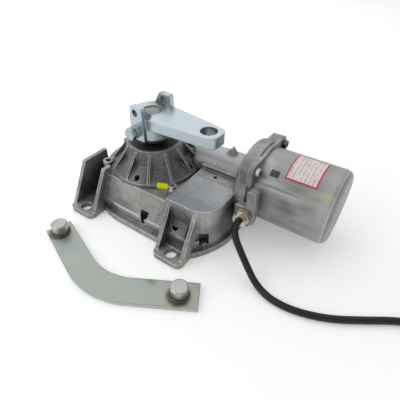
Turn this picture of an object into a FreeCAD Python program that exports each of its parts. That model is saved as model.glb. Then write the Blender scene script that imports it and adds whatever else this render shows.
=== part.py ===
import FreeCAD, Part
import math
import os
import re

import Sketcher

V = FreeCAD.Vector

# Driving sizes in millimetres. The origin is on the ground under the output shaft, +X runs to the motor.
SIZES = {
    # base plate and feet of the gear case
    "base_thick": 8.0,
    "base_half": 79.0,
    "base_end": 130.0,
    "base_nose": 24.0,
    "base_shoulder_x": 104.0,
    "base_nose_round": 90.0,
    "foot_reach": 18.0,
    "foot_inner": 38.0,
    "foot_thick": 7.0,
    "foot_half": 19.5,
    "foot_round": 7.0,
    "foot_hole": 14.0,
    "foot_hole_reach": 7.0,
    "left_foot_x": -51.0,
    "right_foot_x": 87.5,
    "web_thick": 4.8,
    "web_top": 57.0,
    "web_corner_y": 61.0,
    "outer_web_root": 25.0,
    "inner_web_root": 50.0,
    # walls of the gear case
    "skirt_top": 20.0,
    "skirt_half": 72.0,
    "skirt_end": 124.0,
    "wall_round": 66.0,
    "waist_half": 56.0,
    "waist_foot": 70.0,
    "rear_inset": 2.0,
    "deck_top": 48.0,
    "boss_top": 60.0,
    "boss_x": 95.0,
    "boss_half": 28.5,
    "boss_front": 62.5,
    "boss_round": 26.0,
    "left_niche_x": 35.0,
    "left_niche_y": 66.5,
    "middle_niche_x": 80.0,
    "right_niche_x": 112.5,
    "right_niche_y": 57.5,
    "niche_half": 6.0,
    "niche_floor": 11.0,
    "niche_top": 28.0,
    "niche_post": 3.2,
    "niche_post_top": 15.0,
    "cavity_round": 58.0,
    "cavity_top": 40.0,
    "mouth_round": 46.0,
    "bay_left": 40.0,
    "bay_right": 88.0,
    "bay_half": 46.0,
    "bay_top": 45.5,
    "post_half": 16.0,
    "boss_hole": 5.0,
    # base cover
    "cover_margin": 8.0,
    "cover_thick": 7.0,
    "gasket_thick": 1.0,
    "gasket_inset": 0.4,
    # hub cover with its ribbed tower
    "hub_round": 57.0,
    "hub_edge": 52.5,
    "hub_slope": 2.5,
    "hub_shoulder": 54.0,
    "hub_top": 65.0,
    "hub_roof": 6.0,
    "roof_half": 45.5,
    "tower_foot": 39.5,
    "tower_rim": 34.0,
    "tower_top": 83.3,
    "rib_reach": 55.5,
    "rib_thick": 3.4,
    "rib_top": 80.0,
    "rib_foot": 1.5,
    "rib_sink": 1.0,
    "rib_count": 12,
    "hub_screw_round": 50.5,
    "lobe_round": 61.5,
    "lobe_half": 6.5,
    "lobe_top": 55.5,
    "hub_seat": 51.5,
    # output shaft and its bearings
    "shaft_half": 15.0,
    "bearing_half": 31.0,
    "bearing_wide": 16.0,
    "race_gap": 0.4,
    "seal_wide": 10.0,
    "seal_rim": 2.0,
    "seal_lip": 1.0,
    "bearing_lip": 4.0,
    "cup_wall": 5.0,
    "wheel_seat": 17.0,
    "collar_rise": 3.0,
    "collar_wide": 5.0,
    "shaft_foot": 5.0,
    "shaft_end_drop": 1.0,
    "key_wide": 8.0,
    "key_tall": 7.0,
    "wheel_key_inset": 1.0,
    "crank_key_inset": 4.0,
    "run_gap": 0.05,
    "fit_gap": 0.3,
    # second worm stage: cross shaft worm on the main wheel
    "main_module": 3.0,
    "main_teeth": 36,
    "main_wide": 16.0,
    "main_z": 30.0,
    "cross_worm_half": 12.0,
    "cross_worm_length": 30.0,
    "cross_shaft_half": 6.0,
    "cross_bearing_half": 12.0,
    "cross_bearing_wide": 6.0,
    "main_backlash": 0.5,
    # first worm stage: motor worm on the cross shaft wheel
    "first_module": 1.0,
    "first_teeth": 32,
    "first_wide": 7.0,
    "first_seat": 7.0,
    "wheel_room": 1.0,
    "spacer_half": 8.0,
    "motor_worm_half": 8.0,
    "motor_worm_length": 14.0,
    "first_backlash": 0.25,
    # motor
    "motor_y": 34.0,
    "tube_half": 21.5,
    "tube_left": 46.0,
    "tube_nose": 5.0,
    "tube_fillet": 7.0,
    "ledge_front": 8.0,
    "ledge_top": 65.0,
    "fin_x": 92.0,
    "fin_half": 9.0,
    "fin_thick": 6.0,
    "fin_top": 84.5,
    "bell_half": 48.0,
    "bell_long": 17.0,
    "bell_right": 135.0,
    "bell_round": 7.0,
    "bell_bore": 39.0,
    "ear_reach": 34.5,
    "ear_half": 9.0,
    "ear_thick": 5.0,
    "can_half": 42.5,
    "can_bore": 38.5,
    "can_right": 226.0,
    "can_round": 8.0,
    "can_end": 5.0,
    "stator_left": 152.0,
    "stator_length": 46.0,
    "stator_bore": 22.0,
    "winding_long": 8.0,
    "winding_out": 36.0,
    "winding_in": 24.5,
    "air_gap": 0.5,
    "motor_shaft_half": 7.5,
    "nose_shaft_half": 3.0,
    "nose_bearing_half": 9.5,
    "nose_bearing_wide": 6.0,
    "nose_gap": 2.5,
    "front_bearing_half": 17.5,
    "front_bearing_wide": 11.0,
    "rear_bearing_half": 16.0,
    "rear_bearing_wide": 10.0,
    "rear_shaft_half": 6.0,
    # crank
    "crank_turn": -2.8,
    "crank_foot": 92.0,
    "crank_top": 120.0,
    "crank_hub_half": 24.5,
    "crank_bore": 12.5,
    "arm_thick": 13.0,
    "arm_pin_x": 82.5,
    "arm_end": 98.0,
    "arm_root_x": 17.0,
    "arm_root_half": 21.8,
    "arm_tip_half": 13.5,
    "arm_tip_round": 9.0,
    "pin_hole": 19.0,
    "cheek_right": 10.3,
    "near_cheek_left": 9.0,
    "far_cheek_left": 15.0,
    "cheek_crown": 6.0,
    "cheek_bend_z": 118.0,
    "wedge_top": 129.0,
    "wedge_deep": 9.0,
    "cheek_out": 27.0,
    "cheek_thick": 7.0,
    "cheek_top": 133.0,
    "cheek_round": 3.0,
    "cheek_hole": 8.0,
    "cheek_hole_z": 126.0,
    "stop_bolt_x": 1.0,
    "stop_bolt_z": 105.0,
    # link bar, lying in front of the operator
    "link_x": 50.4,
    "link_y": -164.8,
    "link_turn": 5.0,
    "link_bend": 48.4,
    "link_arm": 108.0,
    "link_near_reach": 88.3,
    "link_far_reach": 97.0,
    "link_half": 14.8,
    "link_round": 65.0,
    "link_thick": 6.0,
    "link_pin": 18.5,
    "link_pin_rise": 13.5,
    "link_pin_bevel": 1.0,
    "link_collar": 10.4,
    "link_collar_rise": 1.0,
    # fasteners
    "screw_four": 4.0,
    "screw_five": 5.0,
    "screw_six": 6.0,
    "screw_eight": 8.0,
    "hub_screw_length": 7.0,
    "ear_screw_length": 14.0,
    "plate_screw_length": 10.0,
    "stop_bolt_spare": 1.5,
    "drill_spare": 1.0,
    # earth terminal
    "earth_x": 59.0,
    "earth_y": -41.0,
    "earth_boss": 5.5,
    "earth_top": 56.0,
    "lug_half": 5.0,
    "lug_thick": 1.0,
    "sleeve_half": 3.4,
    "sleeve_length": 12.0,
    "lug_barrel": 1.8,
    "lug_turn": 30.0,
    "lug_lean": 10.0,
    "lug_sink": 0.4,
    "sleeve_gap": 1.0,
    # gland and cord
    "gland_x": 142.0,
    "gland_block_left": 130.0,
    "gland_block_right": 153.0,
    "gland_z": 46.0,
    "gland_block": 20.0,
    "gland_block_round": 2.0,
    "gland_tongue": 10.0,
    "gland_tongue_top": 78.0,
    "gland_block_front": -23.0,
    "gland_seat": -14.5,
    "gland_washer": 1.2,
    "gland_hex": 17.0,
    "gland_body": 6.0,
    "gland_nut": 5.0,
    "gland_nut_half": 7.6,
    "cord_wide": 7.5,
    "coil_x": 372.0,
    "coil_y": 30.0,
    "coil_half": 41.0,
    "coil_lift": 0.8,
    "core_half": 1.1,
    "core_length": 22.0,
    "core_pitch": 2.3,
    "tie_wide": 8.0,
}

# The stop bolt, the screws and the bearings follow common metric proportions.
HEAD_HALF = 0.85
HEAD_TALL = 0.8
SOCKET_HALF = 0.46
NUT_TALL = 0.8
HEX_HEAD_TALL = 0.66
HEX_ACROSS = 1.625

HUB_SCREW_ANGLES = (-77, 6, 48, 112)
LOBE_ANGLES = (-138, 170)
THREAD_STEPS = 18

# Tooth proportions in modules, and the pressure angle in radians.
ADDENDUM = 0.95
DEDENDUM = 1.25
THREAD_SINK = 1.6
FLANK_FOOT = 0.1
PRESSURE = math.radians(20)

# The cord: how far its last layer runs round, its arcs as a share of the runs, and its route.
ARC_SHARE = 0.45
COIL_LAST_TURN = 270
CORD_ROUTE = (
    (142.0, -30.2, 46.0),
    (142.0, -39.0, 46.0),
    (144.0, -46.0, 44.0),
    (147.8, -51.4, 40.0),
    (153.4, -55.0, 34.2),
    (164.6, -60.0, 23.4),
    (173.6, -63.8, 14.8),
    (182.5, -67.6, 8.0),
    (193.5, -71.6, 4.5),
    (208.0, -74.6, 3.8),
    (230.0, -73.0, 3.8),
    (259.0, -62.5, 3.8),
    (287.0, -44.5, 3.8),
    (315.0, -25.5, 3.8),
    (344.0, -15.4, 4.2),
    (372.0, -14.75, 4.55),
)

NAME = re.compile(r"[a-z]+(?:_[a-z0-9]+)+")
TURNS = {
    "+x": FreeCAD.Rotation(V(0, 1, 0), 90),
    "-x": FreeCAD.Rotation(V(0, 1, 0), -90),
    "+y": FreeCAD.Rotation(V(1, 0, 0), -90),
    "-y": FreeCAD.Rotation(V(1, 0, 0), 90),
    "+z": FreeCAD.Rotation(),
    "-z": FreeCAD.Rotation(V(1, 0, 0), 180),
}

doc = FreeCAD.newDocument("GateOperator")
sheet = doc.addObject("Spreadsheet::Sheet", "Sizes")
for row, (alias, value) in enumerate(SIZES.items(), start=1):
    sheet.set(f"A{row}", alias)
    sheet.set(f"B{row}", str(value))
    sheet.setAlias(f"B{row}", alias)
doc.recompute()

nodes = {}


def bound(expression):
    """Gives an expression with every size name pointing at the sheet.

    Args:
        expression: arithmetic on size names, as text or a plain number.
    Returns:
        The text for setExpression.
    """
    return NAME.sub(lambda found: "Sizes." + found.group(), str(expression))


def number(expression):
    """Works out an expression on the sheet's sizes.

    Args:
        expression: arithmetic on size names, as text or a plain number.
    Returns:
        Its value as a float.
    """
    return float(sheet.evalExpression(bound(expression)))


def bind(thing, **properties):
    """Binds properties of a document object to expressions on the sheet.

    Args:
        thing: the document object.
        properties: property names and their expressions.
    """
    for name, expression in properties.items():
        thing.setExpression(name, bound(expression))


def place(thing, base=("0", "0", "0"), axis="+z", turn=0.0):
    """Sets where an object stands, with its base point bound to the sheet.

    Args:
        thing: the document object.
        base: three expressions for its base point.
        axis: the direction that its own +Z takes.
        turn: degrees that it is first turned about its own Z.
    """
    rotation = TURNS[axis].multiply(FreeCAD.Rotation(V(0, 0, 1), turn))
    thing.Placement = FreeCAD.Placement(V(*(number(part) for part in base)), rotation)
    for letter, expression in zip("xyz", base):
        thing.setExpression(f"Placement.Base.{letter}", bound(expression))


def node(thing, label):
    """Names an object as one of the assembly's pieces.

    Args:
        thing: the document object.
        label: the piece's name.
    Returns:
        The same object.
    """
    thing.Label = label
    nodes[label] = thing
    return thing


class Piece:
    """A PartDesign body whose sketches are bound to the sheet."""

    def __init__(self, label):
        self.body = doc.addObject("PartDesign::Body", label)
        self.body.Label = label

    def plane(self, role):
        """Finds one of the body's own origin planes or axes by its role."""
        return next(part for part in self.body.Origin.OriginFeatures if part.Role == role)

    def sketch(self, role, at="0"):
        """Starts a sketch on an origin plane, moved along that plane's normal."""
        made = self.body.newObject("Sketcher::SketchObject", "Sketch")
        made.AttachmentSupport = (self.plane(role), [""])
        made.MapMode = "FlatFace"
        made.setExpression("AttachmentOffset.Base.z", bound(at))
        return made

    def pad(self, sketch, length, back=False):
        """Raises a sketch by a bound length."""
        made = self.body.newObject("PartDesign::Pad", "Pad")
        made.Profile = sketch
        made.Reversed = back
        bind(made, Length=length)
        return made

    def pocket(self, sketch, length, ahead=False):
        """Cuts a sketch by a bound length, against its normal or ahead along it."""
        made = self.body.newObject("PartDesign::Pocket", "Pocket")
        made.Profile = sketch
        made.Reversed = ahead
        bind(made, Length=length)
        return made

    def turned(self, corners):
        """Revolves a closed outline of (radius, height) corners about the body's own Z."""
        drawn = self.sketch("XZ_Plane")
        outline(drawn, corners)
        made = self.body.newObject("PartDesign::Revolution", "Revolution")
        made.Profile = drawn
        made.ReferenceAxis = (drawn, ["V_Axis"])
        made.Angle = 360
        return made

    def rounded(self, radius, chosen):
        """Fillets the edges that a test picks.

        Args:
            radius: expression for the fillet's radius.
            chosen: test that takes an edge and says whether it is rounded.
        """
        doc.recompute()
        base = self.body.Tip
        picked = [f"Edge{i}" for i, edge in enumerate(base.Shape.Edges, start=1) if chosen(edge)]
        made = self.body.newObject("PartDesign::Fillet", "Fillet")
        made.Base = (base, picked)
        bind(made, Radius=radius)
        return made


def outline(sketch, corners):
    """Draws a closed outline whose corners are bound to the sheet.

    Args:
        sketch: the sketch to draw in.
        corners: (x, y) or (x, y, radius) expressions. A radius makes the side to the next corner an arc that
            runs counter-clockwise, or clockwise with a leading minus sign.
    """
    points = [V(number(corner[0]), number(corner[1]), 0) for corner in corners]
    count = len(corners)
    ends = []
    for i, corner in enumerate(corners):
        start, end = points[i], points[(i + 1) % count]
        if len(corner) == 2:
            side = sketch.addGeometry(Part.LineSegment(start, end))
            ends.append((side, 1, 2))
            continue
        clockwise = corner[2].startswith("-")
        radius = corner[2].lstrip("-")
        side = sketch.addGeometry(arc_between(start, end, number(radius), clockwise))
        ends.append((side, 2, 1) if clockwise else (side, 1, 2))
        held = sketch.addConstraint(Sketcher.Constraint("Radius", side, number(radius)))
        sketch.setExpression(f"Constraints[{held}]", bound(radius))
    for i, corner in enumerate(corners):
        side, first, last = ends[i]
        after, next_first, _ = ends[(i + 1) % count]
        sketch.addConstraint(Sketcher.Constraint("Coincident", side, last, after, next_first))
        for kind, expression in zip(("DistanceX", "DistanceY"), corner):
            held = sketch.addConstraint(
                Sketcher.Constraint(kind, -1, 1, side, first, number(expression))
            )
            sketch.setExpression(f"Constraints[{held}]", bound(expression))


def arc_between(start, end, radius, clockwise):
    """Makes the shorter arc of a radius between two points.

    Args:
        start: first point.
        end: last point.
        radius: the arc's radius.
        clockwise: whether it runs clockwise.
    Returns:
        A Part.ArcOfCircle, which itself always runs counter-clockwise.
    """
    chord = end - start
    rise = math.sqrt(max(radius**2 - chord.Length**2 / 4, 0))
    across = V(-chord.y, chord.x, 0).normalize() * (-rise if clockwise else rise)
    centre = (start + end) / 2 + across
    first, last = (end, start) if clockwise else (start, end)
    angles = [math.atan2(point.y - centre.y, point.x - centre.x) for point in (first, last)]
    return Part.ArcOfCircle(Part.Circle(centre, V(0, 0, 1), radius), *angles)


def ring(sketch, x, y, radius):
    """Draws a circle whose centre and radius are bound to the sheet."""
    centre = V(number(x), number(y), 0)
    side = sketch.addGeometry(Part.Circle(centre, V(0, 0, 1), number(radius)))
    for kind, expression in (("DistanceX", x), ("DistanceY", y)):
        held = sketch.addConstraint(Sketcher.Constraint(kind, -1, 1, side, 3, number(expression)))
        sketch.setExpression(f"Constraints[{held}]", bound(expression))
    held = sketch.addConstraint(Sketcher.Constraint("Radius", side, number(radius)))
    sketch.setExpression(f"Constraints[{held}]", bound(radius))


def box(sketch, left, front, right, back):
    """Draws a rectangle from four bound sides."""
    outline(sketch, [(left, front), (right, front), (right, back), (left, back)])


def turned(label, corners, base=("0", "0", "0"), axis="+z"):
    """Makes a turned piece from its half section and stands it on an axis.

    Args:
        label: the piece's name.
        corners: (radius, height) corners of the half section.
        base: expressions for the point that its height is counted from.
        axis: the direction of its axis.
    Returns:
        The finished body.
    """
    piece = Piece(label)
    piece.turned(corners)
    place(piece.body, base, axis)
    return piece.body


def cylinder(radius, length, base, axis="+z"):
    """Makes a bound Part cylinder."""
    made = doc.addObject("Part::Cylinder", "Cylinder")
    bind(made, Radius=radius, Height=length)
    place(made, base, axis)
    return made


def block(length, width, height, base):
    """Makes a bound Part box from its lowest corner."""
    made = doc.addObject("Part::Box", "Box")
    bind(made, Length=length, Width=width, Height=height)
    place(made, base)
    return made


def hexagon(circumradius, height, base, axis="+z"):
    """Makes a bound six-sided Part prism."""
    made = doc.addObject("Part::Prism", "Prism")
    made.Polygon = 6
    bind(made, Circumradius=circumradius, Height=height)
    place(made, base, axis)
    return made


def cut(base, tool):
    """Cuts one object out of another."""
    made = doc.addObject("Part::Cut", "Cut")
    made.Base = base
    made.Tool = tool
    return made


def fuse(*parts):
    """Joins objects into one."""
    made = doc.addObject("Part::MultiFuse", "Fuse")
    made.Shapes = list(parts)
    return made


def group(label, parts):
    """Gathers equal pieces into one node."""
    made = doc.addObject("Part::Compound", label)
    made.Links = list(parts)
    return node(made, label)


def socket_screw(size, length):
    """Makes a socket head cap screw, head up, with the underside of its head at its origin."""
    head = cylinder(f"{HEAD_HALF} * {size}", f"{HEAD_TALL} * {size}", ("0", "0", "0"))
    floor = f"{HEAD_TALL} * {size} - {size} / 2"
    socket = hexagon(f"{SOCKET_HALF} * {size}", f"{size} / 2", ("0", "0", floor))
    shank = cylinder(f"{size} / 2", length, ("0", "0", f"-{length}"))
    return fuse(cut(head, socket), shank)


def copies(label, master, places, axis):
    """Places copies of one master piece as one node.

    Args:
        label: the node's name.
        master: the piece to copy.
        places: base points, three expressions each.
        axis: the direction that the master's +Z takes.
    Returns:
        The compound.
    """
    links = []
    for base in places:
        link = doc.addObject("App::Link", "Copy")
        link.LinkedObject = master
        place(link, base, axis)
        links.append(link)
    return group(label, links)


def around(radius, angle):
    """Gives expressions for a point on a circle about the output shaft."""
    return f"({radius}) * cos({angle})", f"({radius}) * sin({angle})"


def wheel_section(module, teeth, backlash):
    """Draws the closed outline of an involute wheel with a tooth space on its own +X.

    Args:
        module: tooth size.
        teeth: tooth count.
        backlash: how much thinner a tooth is than half the pitch.
    Returns:
        The outline's points.
    """
    pitch_half = module * teeth / 2
    base_half = pitch_half * math.cos(PRESSURE)
    root_half, tip_half = pitch_half - DEDENDUM * module, pitch_half + ADDENDUM * module
    half_tooth = (math.pi * module / 2 - backlash) / 2 / pitch_half
    involute_at_pitch = math.tan(PRESSURE) - PRESSURE

    def half_angle(radius):
        pressure = math.acos(min(1.0, base_half / radius))
        return half_tooth + involute_at_pitch - (math.tan(pressure) - pressure)

    flank = [root_half, max(base_half, root_half + FLANK_FOOT * module), pitch_half, tip_half]
    points = []
    for tooth in range(teeth):
        middle = (tooth + 0.5) * 2 * math.pi / teeth
        for side, radii in ((-1, flank), (1, reversed(flank))):
            for radius in radii:
                angle = middle + side * half_angle(radius)
                points.append(V(radius * math.cos(angle), radius * math.sin(angle), 0))
    return points


def wheel_shape(module, teeth, wide, backlash, worm_half):
    """Builds a helical wheel that runs on a right-hand single-start worm.

    Args:
        module: tooth size.
        teeth: tooth count.
        wide: face width.
        backlash: how much thinner a tooth is than half the pitch.
        worm_half: the worm's pitch radius.
    Returns:
        The toothed disc, with its axis on Z and its middle plane at zero.
    """
    points = wheel_section(module, teeth, backlash)
    lead_slope = module / (2 * worm_half)
    twist = math.degrees(wide / 2 * lead_slope / (module * teeth / 2))
    sections = []
    for side in (-1, 1):
        wire = Part.makePolygon(points + points[:1])
        wire.Placement = FreeCAD.Placement(
            V(0, 0, side * wide / 2), FreeCAD.Rotation(V(0, 0, 1), side * twist)
        )
        sections.append(wire)
    return Part.makeLoft(sections, True, True)


def worm_thread(module, pitch_half, length, backlash, start_angle):
    """Builds the thread of a right-hand single-start worm as a faceted helix.

    Args:
        module: tooth size.
        pitch_half: pitch radius.
        length: length of the thread along its axis.
        backlash: how much thinner the thread is than half the pitch.
        start_angle: angle about Z, in radians, at which the thread crosses zero height.
    Returns:
        The solid thread, about Z, with its middle at zero height.
    """
    lead = math.pi * module
    slope = math.tan(PRESSURE)
    foot_half, tip_half = pitch_half - THREAD_SINK * module, pitch_half + ADDENDUM * module
    half_at_pitch = (lead / 2 - backlash) / 2
    half_foot = half_at_pitch + (pitch_half - foot_half) * slope
    half_tip = half_at_pitch - (tip_half - pitch_half) * slope
    section = ((foot_half, -half_foot), (tip_half, -half_tip), (tip_half, half_tip), (foot_half, half_foot))
    count = int(length / lead * THREAD_STEPS)
    rows = []
    for step in range(count + 1):
        turn = (step - count / 2) * 2 * math.pi / THREAD_STEPS
        angle, height = start_angle + turn, lead * turn / (2 * math.pi)
        rows.append([V(r * math.cos(angle), r * math.sin(angle), height + h) for r, h in section])
    faces = [Part.Face(Part.makePolygon(row + row[:1])) for row in (rows[0], rows[-1])]
    for low, high in zip(rows, rows[1:]):
        for i in range(4):
            j = (i + 1) % 4
            faces.append(Part.Face(Part.makePolygon([low[i], low[j], high[j], low[i]])))
            faces.append(Part.Face(Part.makePolygon([low[i], high[j], high[i], low[i]])))
    shell = Part.makeShell(faces)
    shell.sewShape()
    solid = Part.makeSolid(shell)
    return solid if solid.Volume > 0 else solid.reversed()


def shaped(shape, base, axis, name):
    """Puts a shape worked out from the sheet into the document."""
    made = doc.addObject("Part::Feature", name)
    made.Shape = shape
    place(made, base, axis)
    return made


MOTOR_Z = "main_z + first_module * first_teeth / 2 + motor_worm_half"
CROSS_X = "main_module * main_teeth / 2 + cross_worm_half"
COVER_TOP = "cover_thick + gasket_thick"
FOOT_FRONT = "(base_half + foot_reach)"
REAR = "(wall_round - rear_inset)"
WALL_LEFT = "(left_foot_x + foot_half - web_thick / 2)"
BELL_LEFT = "(bell_right - bell_long)"
LOW_BEARING = "cover_thick / 2"
HIGH_BEARING = "tower_top - seal_wide - bearing_wide"
BAY_OUT = "bay_half + cross_bearing_wide + fit_gap"
FIRST_LEFT = "motor_y - first_wide / 2"
NOSE_LEFT = f"{CROSS_X} - motor_worm_length / 2 - nose_gap - nose_bearing_wide"
REAR_BEARING = "can_right - can_end - rear_bearing_wide"
GLAND_FACE = "gland_block_front - gland_washer - gland_body"
COIL_IN = "(coil_half - cord_wide)"
COIL_OUT = "(coil_half + cord_wide)"
FEET = [("left_foot_x", -1), ("left_foot_x", 1), ("right_foot_x", -1), ("right_foot_x", 1)]
LOBES = [around("lobe_round", angle) for angle in LOBE_ANGLES]
HUB_SCREWS = [around("hub_screw_round", angle) for angle in HUB_SCREW_ANGLES] + LOBES
EARS = [
    (f"motor_y + {side} * ear_reach", f"{MOTOR_Z} + {level} * ear_reach")
    for side in (-1, 1)
    for level in (-1, 1)
]
NICHES = [
    ("left_niche_x", "-left_niche_y"),
    ("middle_niche_x", "-boss_front"),
    ("right_niche_x", "-right_niche_y"),
]
PLATE_SCREWS = [
    ("-cavity_round - cover_margin / 2", "0"),
    *[("0", f"{side} * (cavity_round + cover_margin / 2)") for side in (-1, 1)],
    *[("bay_right + cover_margin / 2", f"{side} * bay_half / 2") for side in (-1, 1)],
]


def round_end(half, x_right):
    """Corners of an outline with a half-round left end about the output shaft, without its right end."""
    return [("0", half, half), (f"-{half}", "0", half), ("0", f"-{half}"), (x_right, f"-{half}")]


def gear_case():
    """The cast lower case: base plate, four gusseted feet, walls, label boss, worm tube and motor bell."""
    piece = Piece("gear_case")

    drawn = piece.sketch("XY_Plane")
    outline(
        drawn,
        round_end("base_half", "base_shoulder_x")[:-1]
        + [
            ("base_shoulder_x", "-base_half", "base_nose_round"),
            ("base_end", "-base_nose"),
            ("base_end", "base_nose", "base_nose_round"),
            ("base_shoulder_x", "base_half"),
        ],
    )
    piece.pad(drawn, "base_thick")

    drawn = piece.sketch("XY_Plane", "base_thick / 2")
    outline(
        drawn,
        round_end("skirt_half", "base_shoulder_x")[:-1]
        + [
            ("base_shoulder_x", "-skirt_half", "base_nose_round"),
            ("skirt_end", "-base_nose"),
            ("skirt_end", "base_nose", "base_nose_round"),
            ("base_shoulder_x", "skirt_half"),
        ],
    )
    piece.pad(drawn, "skirt_top - base_thick / 2")

    drawn = piece.sketch("XY_Plane", "base_thick / 2")
    outline(
        drawn,
        [
            ("0", "wall_round", "wall_round"),
            ("-wall_round", "0", "wall_round"),
            (WALL_LEFT, f"-sqrt(wall_round ^ 2 - {WALL_LEFT} ^ 2)"),
            (WALL_LEFT, "-waist_foot"),
            ("boss_x", "-waist_foot"),
            ("boss_x", REAR),
            (f"sqrt(wall_round ^ 2 - {REAR} ^ 2)", REAR, "wall_round"),
        ],
    )
    piece.pad(drawn, "deck_top - base_thick / 2")
    drawn = piece.sketch("YZ_Plane", WALL_LEFT)
    outline(
        drawn,
        [
            ("-waist_foot - web_thick", "skirt_top"),
            ("-waist_foot", "skirt_top"),
            ("-waist_half", "deck_top"),
            ("-waist_foot - web_thick", "deck_top"),
        ],
    )
    piece.pocket(drawn, f"boss_x - {WALL_LEFT}", ahead=True)

    drawn = piece.sketch("XY_Plane", "base_thick / 2")
    outline(
        drawn,
        [
            ("boss_x - boss_half", "-boss_front"),
            ("boss_x + boss_half - boss_round", "-boss_front", "boss_round"),
            ("boss_x + boss_half", "boss_round - boss_front"),
            ("boss_x + boss_half", REAR),
            ("boss_x - boss_half", REAR),
        ],
    )
    piece.pad(drawn, "boss_top - base_thick / 2")
    niches(piece)

    feet(piece)
    drawn = piece.sketch("XY_Plane", "deck_top")
    ring(drawn, "0", "0", "hub_round + fit_gap")
    piece.pocket(drawn, "web_top", ahead=True)

    drawn = piece.sketch("XY_Plane", MOTOR_Z)
    drawn.setExpression("AttachmentOffset.Base.y", bound("motor_y"))
    outline(
        drawn,
        [
            ("tube_left", "0"),
            ("bell_right", "0"),
            ("bell_right", "bell_half"),
            (f"{BELL_LEFT} + bell_round", "bell_half", "bell_round"),
            (BELL_LEFT, "bell_half - bell_round"),
            (BELL_LEFT, "tube_half + tube_fillet", "-tube_fillet"),
            (f"{BELL_LEFT} - tube_fillet", "tube_half"),
            ("tube_left + tube_nose", "tube_half", "tube_nose"),
            ("tube_left", "tube_half - tube_nose"),
        ],
    )
    bell = piece.body.newObject("PartDesign::Revolution", "Bell")
    bell.Profile = drawn
    bell.ReferenceAxis = (drawn, ["H_Axis"])
    bell.Angle = 360
    drawn = piece.sketch("YZ_Plane", f"{BELL_LEFT} + bell_round")
    lobed(drawn)
    piece.pad(drawn, "bell_long - bell_round")
    drawn = piece.sketch("YZ_Plane", "boss_x - boss_half")
    box(drawn, "ledge_front", "deck_top", "motor_y", "ledge_top")
    piece.pad(drawn, f"{BELL_LEFT} + bell_round - boss_x + boss_half")
    drawn = piece.sketch("XZ_Plane", "-motor_y - fin_thick / 2")
    outline(
        drawn,
        [
            ("fin_x - fin_half", f"{MOTOR_Z} + tube_half - fin_thick / 2"),
            ("fin_x + fin_half", f"{MOTOR_Z} + tube_half - fin_thick / 2"),
            ("fin_x", "fin_top"),
        ],
    )
    piece.pad(drawn, "fin_thick")
    drawn = piece.sketch("YZ_Plane", "bell_right - gland_block / 2")
    box(drawn, "gland_seat", "gland_z - gland_block / 2", "motor_y", "gland_z + gland_block / 2")
    piece.pad(drawn, "gland_block / 2")
    drawn = piece.sketch("XY_Plane", "deck_top")
    ring(drawn, "earth_x", "earth_y", "earth_boss")
    piece.pad(drawn, "earth_top - deck_top")

    inside(piece)
    case_holes(piece)
    return node(piece.body, "gear_case")


def lobed(drawn):
    """Draws the motor flange: a square with its corners rounded about the four ear screws."""
    reach = "(ear_reach + ear_half)"
    corners = []
    for side, level, upright in ((-1, -1, True), (1, -1, False), (1, 1, True), (-1, 1, False)):
        first = (f"motor_y + {side} * {reach}", f"{MOTOR_Z} + {level} * ear_reach")
        last = (f"motor_y + {side} * ear_reach", f"{MOTOR_Z} + {level} * {reach}")
        start, end = (first, last) if upright else (last, first)
        corners += [(*start, "ear_half"), end]
    outline(drawn, corners)


def niches(piece):
    """Three upright niches in the front wall, each with a short screw post at its foot.

    Args:
        piece: the gear case.
    """
    drawn = piece.sketch("XY_Plane", "niche_floor")
    for x, y in NICHES:
        ring(drawn, x, y, "niche_half")
    piece.pocket(drawn, "niche_top - niche_floor", ahead=True)
    drawn = piece.sketch("XY_Plane", "base_thick / 2")
    for x, y in NICHES:
        ring(drawn, x, y, "niche_post")
    piece.pad(drawn, "niche_post_top - base_thick / 2")


def feet(piece):
    """Four feet: each a pad with two gussets that run up the wall.

    Args:
        piece: the gear case.
    """
    drawn = piece.sketch("XY_Plane")
    for x, side in FEET:
        bend = "foot_round" if side < 0 else "-foot_round"
        front = f"{side} * {FOOT_FRONT}"
        corner = f"{side} * ({FOOT_FRONT} - foot_round)"
        inner = f"{side} * foot_inner"
        outline(
            drawn,
            [
                (f"{x} - foot_half", inner),
                (f"{x} - foot_half", corner, bend),
                (f"{x} - foot_half + foot_round", front),
                (f"{x} + foot_half - foot_round", front, bend),
                (f"{x} + foot_half", corner),
                (f"{x} + foot_half", inner),
            ],
        )
    piece.pad(drawn, "foot_thick")
    for x in ("left_foot_x", "right_foot_x"):
        for start in (f"{x} - foot_half", f"{x} + foot_half - web_thick"):
            root = "outer_web_root" if start == "left_foot_x - foot_half" else "inner_web_root"
            drawn = piece.sketch("YZ_Plane", start)
            for side in (-1, 1):
                front = f"{side} * ({FOOT_FRONT} - foot_round)"
                outline(
                    drawn,
                    [
                        (f"{side} * {root}", "base_thick / 2"),
                        (front, "base_thick / 2"),
                        (front, "foot_thick"),
                        (f"{side} * web_corner_y", "web_top"),
                        (f"{side} * {root}", "web_top"),
                    ],
                )
            piece.pad(drawn, "web_thick")


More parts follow.
